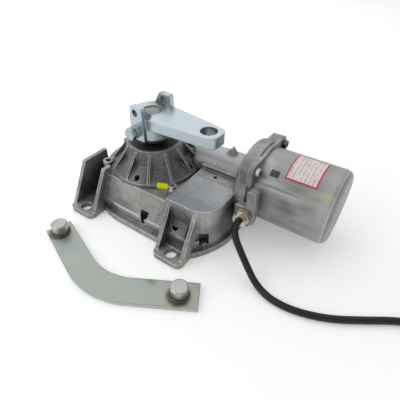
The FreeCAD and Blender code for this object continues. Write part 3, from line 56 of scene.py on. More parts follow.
# Stretches of a patch that leave out one axis (a column) or two (a slab)
COLUMN_X: Point = (0.0, 1.0, 1.0)
COLUMN_Z: Point = (1.0, 1.0, 0.0)
SLAB_X: Point = (1.0, 0.0, 0.0)
SLAB_Z: Point = (0.0, 0.0, 1.0)

# Sockets of a Mix node that blends colours
MIX_FACTOR, MIX_FIRST, MIX_SECOND, MIX_RESULT = 0, 6, 7, 2

OPENNESS_SAMPLES = 8
ROUNDING_SAMPLES = 6
EDGE_STARTS, EDGE_FULL = 0.004, 0.13
PATCH_LEAST, PATCH_GAIN = 0.55, 0.9


class Body(Enum):
    """The body that the new pieces ride on."""

    HOUSING = "housing"


class Slot(Enum):
    """The record's material slots; no piece here takes its finish from them."""

    CAST = "cast_aluminium"
    SHELL = "motor_shell"
    RUBBER = "black_rubber"


class Pick(Enum):
    """What is selected on a mesh in edit mode."""

    FACES = "FACE"
    POINTS = "VERT"


@dataclass(frozen=True)
class Patch:
    """A soft local change of colour, such as dirt, a spill, a rubbed spot, a stained ring, painted shade or
    a painted highlight.

    A zero in stretch takes that axis out of the distance: one zero makes a column, two make a slab.
    """

    at: Point
    inner: float
    outer: float
    colour: Colour
    share: float = 0.7
    stretch: Point = EVEN


class Wire:
    """A shader socket that takes part in arithmetic: each operator adds its Math node."""

    def __init__(self, paint: "Paint", socket: bpy.types.NodeSocket) -> None:
        """Keeps the material and the socket."""
        self.paint = paint
        self.socket = socket

    def _math(self, operation: str, first: "Wire | float", second: "Wire | float") -> "Wire":
        """Adds a Math node on two values."""
        return self.paint.node("ShaderNodeMath", {"operation": operation}, {0: first, 1: second})

    def __add__(self, other: "Wire | float") -> "Wire":
        """Sum."""
        return self._math("ADD", self, other)

    def __radd__(self, other: float) -> "Wire":
        """Sum with a number first."""
        return self._math("ADD", other, self)

    def __sub__(self, other: "Wire | float") -> "Wire":
        """Difference."""
        return self._math("SUBTRACT", self, other)

    def __rsub__(self, other: float) -> "Wire":
        """Difference from a number."""
        return self._math("SUBTRACT", other, self)

    def __mul__(self, other: "Wire | float") -> "Wire":
        """Product."""
        return self._math("MULTIPLY", self, other)

    def __rmul__(self, other: float) -> "Wire":
        """Product with a number first."""
        return self._math("MULTIPLY", other, self)

    def over(self, low: float, high: float) -> "Wire":
        """Gives 0 below low and 1 above high, with a smooth step between.

        Args:
            low: where the step starts.
            high: where it ends.
        Returns:
            The step.
        """
        settings = {"interpolation_type": "SMOOTHSTEP", "clamp": True}
        inputs = {"Value": self, "From Min": low, "From Max": high}
        return self.paint.node("ShaderNodeMapRange", settings, inputs)


class Paint:
    """One procedural material: a Principled shader and the nodes that feed it."""

    def __init__(self, name: str) -> None:
        """Starts an empty material.

        Args:
            name: the material's name.
        """
        self.material = bpy.data.materials.new(name)
        self.material.use_nodes = True
        self.tree = self.material.node_tree
        self.shader = next(node for node in self.tree.nodes if node.type == "BSDF_PRINCIPLED")

    def node(
        self,
        kind: str,
        settings: Mapping[str, object] | None = None,
        inputs: Mapping[str | int, object] | None = None,
        output: str | int = 0,
    ) -> Wire:
        """Adds a node.

        Args:
            kind: the node's type.
            settings: its properties, set first.
            inputs: values or wires for its sockets.
            output: the socket that is handed back.
        Returns:
            The chosen output.
        """
        made = self.tree.nodes.new(kind)
        for name, value in (settings or {}).items():
            setattr(made, name, value)
        for key, value in (inputs or {}).items():
            self.feed(made.inputs[key], value)
        return Wire(self, made.outputs[output])

    def feed(self, socket: bpy.types.NodeSocket, value: object) -> None:
        """Links a wire to a socket, or sets the socket's own value.

        Args:
            socket: the input that is fed.
            value: a wire, or a number, vector or colour.
        """
        if isinstance(value, Wire):
            self.tree.links.new(value.socket, socket)
        elif socket.type == "RGBA":
            socket.default_value = (*value, 1.0)
        else:
            socket.default_value = value

    def set(self, **sockets: object) -> None:
        """Feeds the shader's own sockets, named with underscores for spaces."""
        for name, value in sockets.items():
            self.feed(self.shader.inputs[name.replace("_", " ")], value)

    def place(self, scale: Point = EVEN, centre: Point = ORIGIN) -> Wire:
        """Gives object coordinates, centred on a point and scaled along the axes.

        Args:
            scale: the factor along each axis.
            centre: the point that becomes zero.
        Returns:
            The coordinates.
        """
        coordinates = self.node("ShaderNodeTexCoord", output="Object")
        shift = tuple(-part * factor for part, factor in zip(centre, scale))
        inputs = {"Vector": coordinates, "Location": shift, "Scale": scale}
        return self.node("ShaderNodeMapping", inputs=inputs)

    def noise(
        self, size: float, detail: float = 3.0, vector: Wire | None = None, warp: float = 0.0
    ) -> Wire:
        """Gives cloudy noise.

        Args:
            size: size of its largest clouds in metres.
            detail: how many finer octaves it has.
            vector: where it is read, plain object coordinates if left out.
            warp: how much it is distorted.
        Returns:
            The noise from 0 to 1.
        """
        inputs = {"Vector": vector or self.place(), "Scale": 1 / size, "Detail": detail, "Distortion": warp}
        return self.node("ShaderNodeTexNoise", inputs=inputs)

    def spots(self, size: float) -> Wire:
        """Distance to scattered points, for speckles and pits."""
        inputs = {"Vector": self.place(), "Scale": 1 / size}
        return self.node("ShaderNodeTexVoronoi", {"feature": "F1"}, inputs, "Distance")

    def mix(self, first: object, second: object, factor: Wire | float, blend: str = "MIX") -> Wire:
        """Blends two colours.

        Args:
            first: the colour below.
            second: the colour laid on it.
            factor: how much of the second one shows.
            blend: the Mix node's way of blending.
        Returns:
            The blended colour.
        """
        settings = {"data_type": "RGBA", "blend_type": blend}
        inputs = {MIX_FACTOR: factor, MIX_FIRST: first, MIX_SECOND: second}
        return self.node("ShaderNodeMix", settings, inputs, MIX_RESULT)

    def tint(self, first: object, second: object, factor: Wire | float) -> Wire:
        """Multiplies a colour by another, by a factor."""
        return self.mix(first, second, factor, "MULTIPLY")

    def near(self, patch: Patch) -> Wire:
        """Gives 1 inside a patch and 0 past its outer edge.

        Args:
            patch: the patch.
        Returns:
            Its mask.
        """
        inputs = {0: self.place(patch.stretch, patch.at)}
        away = self.node("ShaderNodeVectorMath", {"operation": "LENGTH"}, inputs, "Value")
        return 1.0 - away.over(patch.inner, patch.outer)

    def patched(self, colour: Wire, patches: Sequence[Patch], broken: Wire) -> Wire:
        """Lays patches over a colour.

        Args:
            colour: the colour below.
            patches: what is laid on it, in order.
            broken: a noise that breaks up each patch.
        Returns:
            The patched colour.
        """
        for patch in patches:
            cover = self.near(patch) * (PATCH_LEAST + PATCH_GAIN * broken) * patch.share
            colour = self.mix(colour, patch.colour, cover)
        return colour

    def dot(self, first: object, second: object) -> Wire:
        """Dot product of two vectors."""
        settings = {"operation": "DOT_PRODUCT"}
        return self.node("ShaderNodeVectorMath", settings, {0: first, 1: second}, "Value")

    def along(self, axis: Point) -> Wire:
        """Distance along an axis from the origin, in metres."""
        return self.dot(self.place(), axis)

    def openness(self, reach: float) -> Wire:
        """How open a spot is: 1 on a free face, towards 0 in a recess."""
        settings = {"samples": OPENNESS_SAMPLES, "only_local": True}
        return self.node("ShaderNodeAmbientOcclusion", settings, {"Distance": reach}, "AO")

    def rounded(self, radius: float) -> Wire:
        """The normal as if edges had a small radius."""
        return self.node("ShaderNodeBevel", {"samples": ROUNDING_SAMPLES}, {"Radius": radius})

    def edges(self, softened: Wire) -> Wire:
        """A mask of the edges, from how far the softened normal leaves the true one."""
        true = self.node("ShaderNodeNewGeometry", output="True Normal")
        return (1.0 - self.dot(true, softened)).over(EDGE_STARTS, EDGE_FULL)

    def bump(self, height: Wire, depth: float, strength: float, normal: Wire | None = None) -> Wire:
        """Turns a height into a normal.

        Args:
            height: height from 0 to 1.
            depth: real depth of the relief in metres.
            strength: share of it that shows.
            normal: the normal that it is laid on.
        Returns:
            The bumped normal.
        """
        inputs = {"Height": height, "Distance": depth, "Strength": strength}
        if normal is not None:
            inputs["Normal"] = normal
        return self.node("ShaderNodeBump", inputs=inputs)


class Finish(ABC):
    """A surface finish that makes its own material."""

    @abstractmethod
    def material(self) -> bpy.types.Material:
        """Builds the material."""


@dataclass(frozen=True)
class CastFinish(Finish):
    """Raw die-cast metal: mottled satin grey, with painted shade in its recesses and a painted highlight,
    partly wear, along its edges.
    """

    name: str
    dark: Colour
    light: Colour
    # Colour of the painted highlight along the edges, which is partly wear
    edge: Colour
    # Colour of the painted shade in recesses, and of the dirt in pits
    shade_and_grime: Colour = (0.14, 0.14, 0.135)
    stain: Colour = (1.0, 0.95, 0.82)
    recess: float = 0.042
    # How strong the painted shade in recesses is
    shade_strength: float = 0.85
    rough: tuple[float, float] = (0.38, 0.58)
    metal: float = 0.45
    patches: tuple[Patch, ...] = ()

    def material(self) -> bpy.types.Material:
        """Builds the material.

        Returns:
            The material.
        """
        paint = Paint(self.name)
        softened = paint.rounded(1.7 * MM)
        open_share = paint.openness(self.recess)
        cloud = paint.noise(0.030, detail=5.0, warp=0.4)
        fine = paint.noise(0.0035, detail=4.0)
        grain = paint.noise(0.0007, detail=2.0)
        mottle = (0.65 * cloud + 0.35 * fine).over(0.36, 0.66)
        colour = paint.mix(self.dark, self.light, mottle)
        aside = paint.place(centre=(0.3, 0.1, 0.2))
        stained = paint.noise(0.045, vector=aside, warp=0.8).over(0.56, 0.72)
        colour = paint.tint(colour, self.stain, stained * 0.4)
        colour = paint.patched(colour, self.patches, fine)
        pits = 1.0 - paint.spots(0.004).over(0.02, 0.10)
        colour = paint.tint(colour, self.shade_and_grime, pits * 0.35)
        # Painted shade: recesses are darkened as the sampled openness falls
        shade_mask = 1.0 - open_share.over(0.20, 0.94)
        colour = paint.tint(colour, self.shade_and_grime, shade_mask * self.shade_strength)
        # Painted highlight along the open edges, partly wear, broken up by noise
        wear_and_highlight = paint.edges(softened) * open_share.over(0.30, 0.75) * (0.45 + 0.55 * fine.over(0.25, 0.6))
        colour = paint.mix(colour, self.edge, wear_and_highlight * 0.95)
        low, high = self.rough
        relief = paint.bump(0.7 * fine + 0.3 * grain, depth=0.25 * MM, strength=0.35, normal=softened)
        paint.set(
            Base_Color=colour,
            Metallic=self.metal,
            Roughness=low + (high - low) * (0.5 * cloud + 0.5 * fine) - wear_and_highlight * 0.1,
            Normal=relief,
        )
        return paint.material


@dataclass(frozen=True)
class ShellFinish(Finish):
    """The drawn motor shell: mottled grey with streaks along its length and a few stains."""

    name: str
    dark: Colour
    light: Colour
    smear: Colour = (0.66, 0.65, 0.60)
    # Colour of the painted shade in recesses
    shade_and_grime: Colour = (0.42, 0.42, 0.41)
    patches: tuple[Patch, ...] = ()

    def material(self) -> bpy.types.Material:
        """Builds the material.

        Returns:
            The material.
        """
        paint = Paint(self.name)
        softened = paint.rounded(1.2 * MM)
        open_share = paint.openness(0.02)
        along = paint.noise(0.012, detail=5.0, vector=paint.place((0.16, 1.0, 1.0)), warp=0.3)
        cloud = paint.noise(0.028, detail=5.0, vector=paint.place((0.6, 1.0, 1.0)), warp=0.9)
        fine = paint.noise(0.0022)
        mottle = (0.5 * along + 0.5 * cloud).over(0.36, 0.64)
        colour = paint.mix(self.dark, self.light, mottle)
        smeared = paint.noise(0.006, vector=paint.place((0.05, 1.0, 1.0))).over(0.58, 0.72)
        colour = paint.tint(colour, self.smear, smeared * 0.75)
        aside = paint.place((0.02, 1.0, 1.0), (0.4, 0.2, 0.1))
        scratch = paint.noise(0.0026, detail=2.0, vector=aside).over(0.60, 0.70)
        colour = paint.mix(colour, self.light, scratch * 0.5)
        colour = paint.patched(colour, self.patches, fine)
        # Painted shade: recesses are darkened
        shade_mask = 1.0 - open_share.over(0.2, 0.9)
        colour = paint.tint(colour, self.shade_and_grime, shade_mask * 0.9)
        paint.set(
            Base_Color=colour,
            Metallic=0.75,
            Roughness=0.36 + 0.22 * cloud + 0.05 * fine,
            Normal=paint.bump(0.6 * along + 0.4 * fine, depth=0.15 * MM, strength=0.3, normal=softened),
        )
        return paint.material


@dataclass(frozen=True)
class ZincFinish(Finish):
    """Zinc plate: pale metal with faint drifting tints, from bright to dull."""

    name: str
    base: Colour
    drift_one: Colour
    drift_two: Colour
    rough: tuple[float, float]
    # Colour of the painted shade in recesses
    shade_and_grime: Colour = (0.24, 0.26, 0.27)
    patches: tuple[Patch, ...] = ()

    def material(self) -> bpy.types.Material:
        """Builds the material.

        Returns:
            The material.
        """
        paint = Paint(self.name)
        softened = paint.rounded(1.5 * MM)
        open_share = paint.openness(0.03)
        drift = paint.noise(0.032, vector=paint.place(centre=(0.07, 0.02, 0.0)), warp=1.2)
        other = paint.noise(0.021, vector=paint.place(centre=(-0.2, 0.3, 0.1)), warp=0.8)
        fine = paint.noise(0.0016)
        colour = paint.mix(self.base, self.drift_one, drift.over(0.45, 0.70) * 0.8)
        colour = paint.mix(colour, self.drift_two, other.over(0.50, 0.72) * 0.8)
        colour = paint.patched(colour, self.patches, fine)
        # Painted shade: recesses are darkened
        shade_mask = 1.0 - open_share.over(0.2, 0.95)
        colour = paint.tint(colour, self.shade_and_grime, shade_mask * 0.9)
        low, high = self.rough
        paint.set(
            Base_Color=colour,
            Metallic=1.0,
            Roughness=low + (high - low) * (0.6 * drift + 0.4 * fine),
            Normal=paint.bump(0.5 * fine + 0.5 * drift, depth=0.12 * MM, strength=0.25, normal=softened),
        )
        return paint.material


@dataclass(frozen=True)
class SteelFinish(Finish):
    """Turned or ground metal: fine lathe marks and a light tarnish."""

    name: str
    base: Colour
    tarnish: Colour
    rough: float = 0.26
    # Colour of the painted shade in recesses
    shade_and_grime: Colour = (0.35, 0.34, 0.33)
    patches: tuple[Patch, ...] = ()

    def material(self) -> bpy.types.Material:
        """Builds the material.

        Returns:
            The material.
        """
        paint = Paint(self.name)
        softened = paint.rounded(0.4 * MM)
        cloud = paint.noise(0.010, detail=4.0)
        fine = paint.noise(0.0008, detail=2.0)
        # Painted shade: recesses are darkened
        shade_mask = 1.0 - paint.openness(0.006).over(0.2, 0.9)
        colour = paint.mix(self.base, self.tarnish, cloud.over(0.42, 0.70) * 0.6)
        colour = paint.patched(colour, self.patches, cloud)
        colour = paint.tint(colour, self.shade_and_grime, shade_mask * 0.8)
        paint.set(
            Base_Color=colour,
            Metallic=1.0,
            Roughness=self.rough + 0.18 * cloud,
            Normal=paint.bump(fine, depth=0.05 * MM, strength=0.3, normal=softened),
        )
        return paint.material


@dataclass(frozen=True)
class SoftFinish(Finish):
    """Rubber, vinyl, fibre or nylon: a matt body with a faint grain and pale scuffs."""

    name: str
    base: Colour
    scuff: Colour
    rough: float
    grain: float = 0.0009
    gloss: float = 0.5
    patches: tuple[Patch, ...] = ()

    def material(self) -> bpy.types.Material:
        """Builds the material.

        Returns:
            The material.
        """
        paint = Paint(self.name)
        softened = paint.rounded(0.4 * MM)
        cloud = paint.noise(0.014, detail=4.0)
        fine = paint.noise(self.grain, detail=2.0)
        colour = paint.mix(self.base, self.scuff, cloud.over(0.50, 0.78) * fine.over(0.35, 0.7))
        colour = paint.patched(colour, self.patches, cloud)
        paint.set(
            Base_Color=colour,
            Roughness=self.rough + 0.14 * cloud,
            Specular_IOR_Level=self.gloss,
            Normal=paint.bump(fine, depth=0.08 * MM, strength=0.35, normal=softened),
        )
        return paint.material


@dataclass(frozen=True)
class PlateFinish(Finish):
    """A blank plate or sticker: an even face with faint creases, plain broken rules and a band."""

    name: str
    base: Colour
    wear_and_highlight: Colour
    rough: float
    metal: float = 0.0
    rule: Colour = (0.5, 0.5, 0.5)
    rule_axis: Point = (1.0, 0.0, 0.0)
    rule_pitch: float = 4.3 * MM
    rule_share: float = 0.0
    band: Colour = (0.5, 0.5, 0.5)
    band_from: float = -1.0
    band_edge: float = 0.5 * MM
    band_share: float = 0.0

    def material(self) -> bpy.types.Material:
        """Builds the material.

        Returns:
            The material.
        """
        paint = Paint(self.name)
        cloud = paint.noise(0.011, detail=4.0, warp=0.6)
        fine = paint.noise(0.0012)
        colour = paint.mix(self.base, self.wear_and_highlight, cloud.over(0.42, 0.72) * 0.7)
        across = paint.along(self.rule_axis)
        if self.rule_share:
            rows = across * (1 / self.rule_pitch)
            row = paint.node("ShaderNodeMath", {"operation": "FRACT"}, {0: rows})
            gaps = paint.noise(0.004, detail=2.0).over(0.40, 0.52)
            colour = paint.mix(colour, self.rule, row.over(0.58, 0.66) * gaps * self.rule_share)
        if self.band_share:
            low = 1.0 - across.over(self.band_from - self.band_edge, self.band_from + self.band_edge)
            colour = paint.mix(colour, self.band, low * self.band_share)
        paint.set(
            Base_Color=colour,
            Metallic=self.metal,
            Roughness=self.rough + 0.2 * cloud,
            Normal=paint.bump(0.5 * cloud + 0.5 * fine, depth=0.08 * MM, strength=0.3),
        )
        return paint.material


def select_only(piece: bpy.types.Object) -> None:
    """Leaves one piece selected and active.

    Args:
        piece: the object to select.
    """
    bpy.ops.object.select_all(action="DESELECT")
    piece.select_set(True)
    bpy.context.view_layer.objects.active = piece


@contextmanager
def editing(piece: bpy.types.Object) -> Iterator[None]:
    """Opens a piece in edit mode with nothing else selected.

    Args:
        piece: the object to shape.
    Returns:
        A context that ends in object mode.
    """
    select_only(piece)
    bpy.ops.object.mode_set(mode="EDIT")
    yield
    bpy.ops.object.mode_set(mode="OBJECT")


def pick(piece: bpy.types.Object, kind: Pick, wanted: Callable[[Vector], bool]) -> None:
    """Selects the faces or points whose place passes a test, while the piece is in edit mode.

    Args:
        piece: the object that is shaped.
        kind: faces, by their centres, or points.
        wanted: the test.
    """
    bpy.ops.mesh.select_mode(type=kind.value)
    bpy.ops.mesh.select_all(action="DESELECT")
    bpy.ops.object.mode_set(mode="OBJECT")
    if kind is Pick.FACES:
        for face in piece.data.polygons:
            face.select = wanted(piece.matrix_world @ face.center)
    else:
        for point in piece.data.vertices:
            point.select = wanted(piece.matrix_world @ point.co)
    bpy.ops.object.mode_set(mode="EDIT")


def settled(piece: bpy.types.Object, name: str) -> bpy.types.Object:
    """Names a piece and puts its place into its mesh.

    Args:
        piece: the new object.
        name: the piece's name.
    Returns:
        The piece.
    """
    piece.name = name
    select_only(piece)
    bpy.ops.object.transform_apply(location=True, rotation=True, scale=True)
    return piece


def dress(piece: bpy.types.Object, *materials: bpy.types.Material) -> None:
    """Gives a piece its materials in place of any that it has.

    Args:
        piece: the object to dress.
        materials: its materials, in the order of its slots.
    """
    piece.data.materials.clear()
    for material in materials:
        piece.data.materials.append(material)


def dress_nodes(finish: Finish, *names: str) -> None:
    """Gives CAD nodes one finish.

    Args:
        finish: the finish that they share.
        names: the nodes' names.
    """
    material = finish.material()
    for name in names:
        dress(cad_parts[name], material)
        LOG.info("dressed %s", name)


@dataclass(frozen=True)
class GearCase:
    """The cast gear case with its covers, seal, earth terminal and gland, and the sticker on its boss."""

    plate_left: float = 68.0 * MM
    plate_right: float = 122.0 * MM
    plate_front: float = -61.2 * MM
    plate_back: float = -9.0 * MM
    plate_seat: float = 60.0 * MM
    plate_thick: float = 0.25 * MM
    plate_corner: float = 2.0 * MM
    corner_steps: int = 4
    plate_round: float = 24.0 * MM
    round_steps: int = 16
    plate_band: float = -46.0 * MM

    def case_stain_and_light(self) -> tuple[Patch, ...]:
        """Lists the yellowed stain of the case, and the painted shade and painted highlights laid on it.

        Returns:
            The patches, in the order in which they are laid.
        """
        long = (0.25, 1.0, 1.0)
        longest = (0.015, 1.0, 1.0)
        # Painted shade in the pocket at the front foot
        pocket_shade = Patch((0.0835, -0.0625, 0.040), 0.010, 0.024, (0.10, 0.10, 0.098), 0.75)
        yellowed_wall = Patch((0.028, -0.0593, 0.041), 0.006, 0.022, (0.40, 0.40, 0.345), 0.55)
        # Painted highlight along the top of the tube
        tube_top_highlight = Patch((0.085, 0.028, 0.078), 0.010, 0.022, (0.62, 0.625, 0.63), 0.6, long)
        # Painted highlight on the boss's front right corner
        boss_corner_highlight = Patch((0.1145, -0.056, 0.052), 0.008, 0.020, (0.56, 0.56, 0.545), 0.5)
        bell_shade = Patch((0.127, -0.0095, 0.0885), 0.012, 0.030, (0.16, 0.16, 0.16), 0.75)
        # Painted shade on the boss's right side, where the gland block and motor shade it
        boss_side_shade = Patch((0.1235, -0.026, 0.034), 0.012, 0.028, (0.09, 0.09, 0.086), 0.85)
        # Painted shade on the left web
        left_web_shade = Patch((-0.0315, -0.0745, 0.0285), 0.008, 0.020, (0.17, 0.17, 0.168), 0.5)
        # Painted shadow in a band above the ledge of the lower wall
        wall_shadow_band = Patch((0.0, -0.0683, 0.0240), 0.002, 0.008, (0.16, 0.16, 0.155), 0.55, long)
        # Painted highlight along the ledge of the lower wall
        ledge_highlight = Patch((0.020, -0.0713, 0.0200), 0.0006, 0.0018, (0.74, 0.735, 0.725), 0.85, longest)
        return (
            pocket_shade,
            yellowed_wall,
            tube_top_highlight,
            boss_corner_highlight,
            bell_shade,
            boss_side_shade,
            left_web_shade,
            wall_shadow_band,
            ledge_highlight,
        )

    def cover_spots_and_light(self) -> tuple[Patch, ...]:
        """Lists the painted highlight and the darker spot on the hub cover's rim, and the painted shade on
        its ribs.

        Returns:
            The patches, in the order in which they are laid.
        """
        # Painted highlight on the left of the cover's rim
        cover_rim_highlight = Patch((-0.050, -0.044, 0.0555), 0.004, 0.012, (0.55, 0.55, 0.54), 0.6)
        # A darker spot on the rim
        dark_rim_spot = Patch((-0.0438, -0.0273, 0.0578), 0.006, 0.016, (0.11, 0.11, 0.11), 0.5)
        # Painted shade among the ribs
        ribs_shade = Patch((0.014, -0.036, 0.067), 0.010, 0.024, (0.10, 0.10, 0.105), 0.5)
        return cover_rim_highlight, dark_rim_spot, ribs_shade

    def dress(self) -> None:
        """Gives the castings and what is on them their finishes."""
        self.dress_castings()
        self.dress_fittings()

    def dress_castings(self) -> None:
        """Gives the case, its covers and the gland's block their finishes."""
        case = CastFinish(
            "case_grey",
            dark=(0.222, 0.222, 0.217),
            light=(0.43, 0.43, 0.42),
            edge=(0.84, 0.835, 0.825),
            patches=self.case_stain_and_light(),
        )
        dress_nodes(case, "gear_case", "base_cover")
        # Painted shade: the cover takes a darker copy of the case's cast finish, with stronger shade in its
        # recesses
        cover = CastFinish(
            "cover_grey",
            dark=(0.118, 0.118, 0.118),
            light=(0.245, 0.245, 0.243),
            edge=(0.84, 0.835, 0.83),
            shade_strength=0.95,
            patches=self.cover_spots_and_light(),
        )
        dress_nodes(cover, "hub_cover")
        block = CastFinish(
            "gland_zinc_cast",
            dark=(0.25, 0.26, 0.26),
            light=(0.39, 0.40, 0.39),
            edge=(0.66, 0.67, 0.67),
        )
        dress_nodes(block, "gland_block")

    def dress_fittings(self) -> None:
        """Gives the seal, gaskets, screws, earth terminal and gland their finishes."""
        lip = Patch(ORIGIN, 0.0266, 0.0274, (0.004, 0.004, 0.004), 1.0, COLUMN_Z)
        seal = SoftFinish(
            "seal_rubber",
            (0.016, 0.016, 0.016),
            (0.024, 0.024, 0.024),
            rough=0.40,
            gloss=0.35,
            patches=(lip,),
        )
        dress_nodes(seal, "shaft_seal")
        gasket = SoftFinish("gasket_fibre", (0.055, 0.055, 0.05), (0.09, 0.09, 0.085), rough=0.7)
        dress_nodes(gasket, "base_gasket", "hub_gasket")
        black = SteelFinish("screw_black", (0.045, 0.045, 0.047), (0.08, 0.08, 0.08), rough=0.4)
        dress_nodes(black, "hub_cover_screws")
        plated = SteelFinish("screw_zinc", (0.72, 0.74, 0.76), (0.52, 0.52, 0.50))
        dress_nodes(plated, "base_cover_screws", "earth_screw")
        oiled = Patch((0.1443, 0.0648, 0.092), 0.010, 0.014, (0.07, 0.07, 0.068), 0.85)
        nickel = SteelFinish("screw_nickel", (0.50, 0.48, 0.40), (0.34, 0.32, 0.27), patches=(oiled,))
        dress_nodes(nickel, "motor_screws")
        tin = SteelFinish("lug_tin", (0.70, 0.70, 0.69), (0.50, 0.49, 0.46))
        dress_nodes(tin, "earth_lug")
        sleeve = SoftFinish("sleeve_vinyl", (0.76, 0.78, 0.0), (0.64, 0.64, 0.004), rough=0.50, gloss=0.15)
        dress_nodes(sleeve, "earth_sleeve")
        gland = SteelFinish("gland_nickel", (0.66, 0.62, 0.50), (0.46, 0.42, 0.32), rough=0.22)
        dress_nodes(gland, "gland_body", "gland_nut")
        washer = SoftFinish("washer_fibre", (0.20, 0.07, 0.04), (0.26, 0.11, 0.07), rough=0.6)
        dress_nodes(washer, "gland_washer")

    def build_plate(self) -> bpy.types.Object:
        """Models the blank sticker on the boss: a plate with one large round at its front right corner.

        Returns:
            The plate.
        """
        middle_x = (self.plate_left + self.plate_right) / 2
        middle_y = (self.plate_front + self.plate_back) / 2
        bpy.ops.object.select_all(action="DESELECT")
        bpy.ops.mesh.primitive_plane_add(size=1.0, location=(middle_x, middle_y, self.plate_seat))
        piece = bpy.context.object
        piece.scale = (self.plate_right - self.plate_left, self.plate_back - self.plate_front, 1.0)
        piece = settled(piece, "boss_plate")

        def front_right(point: Vector) -> bool:
            """Whether a point is at the corner with the large round."""
            return point.y < middle_y and point.x > middle_x

        with editing(piece):
            pick(piece, Pick.POINTS, lambda point: not front_right(point))
            bpy.ops.mesh.bevel(offset=self.plate_corner, segments=self.corner_steps, affect="VERTICES")
            pick(piece, Pick.POINTS, front_right)
            bpy.ops.mesh.bevel(offset=self.plate_round, segments=self.round_steps, affect="VERTICES")
            bpy.ops.mesh.select_all(action="SELECT")
            bpy.ops.mesh.extrude_region_move(TRANSFORM_OT_translate={"value": (0.0, 0.0, self.plate_thick)})
            bpy.ops.mesh.select_all(action="SELECT")
            bpy.ops.mesh.normals_make_consistent(inside=False)
        sticker = PlateFinish(
            "boss_sticker",
            (0.40, 0.42, 0.43),
            (0.31, 0.33, 0.34),
            rough=0.34,
            metal=0.35,
            rule=(0.20, 0.21, 0.23),
            rule_axis=(0.0, 1.0, 0.0),
            rule_share=0.32,
            band=(0.27, 0.29, 0.33),
            band_from=self.plate_band,
            band_share=0.75,
        )
        dress(piece, sticker.material())
        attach(piece, Body.HOUSING.value)
        LOG.info("built %s", piece.name)
        return piece


@dataclass(frozen=True)
class BentPlate:
    """Where a thin plate lies on the motor shell: its two ends, and its edges in degrees about the axis."""

    name: str
    left: float
    right: float
    high: float
    low: float


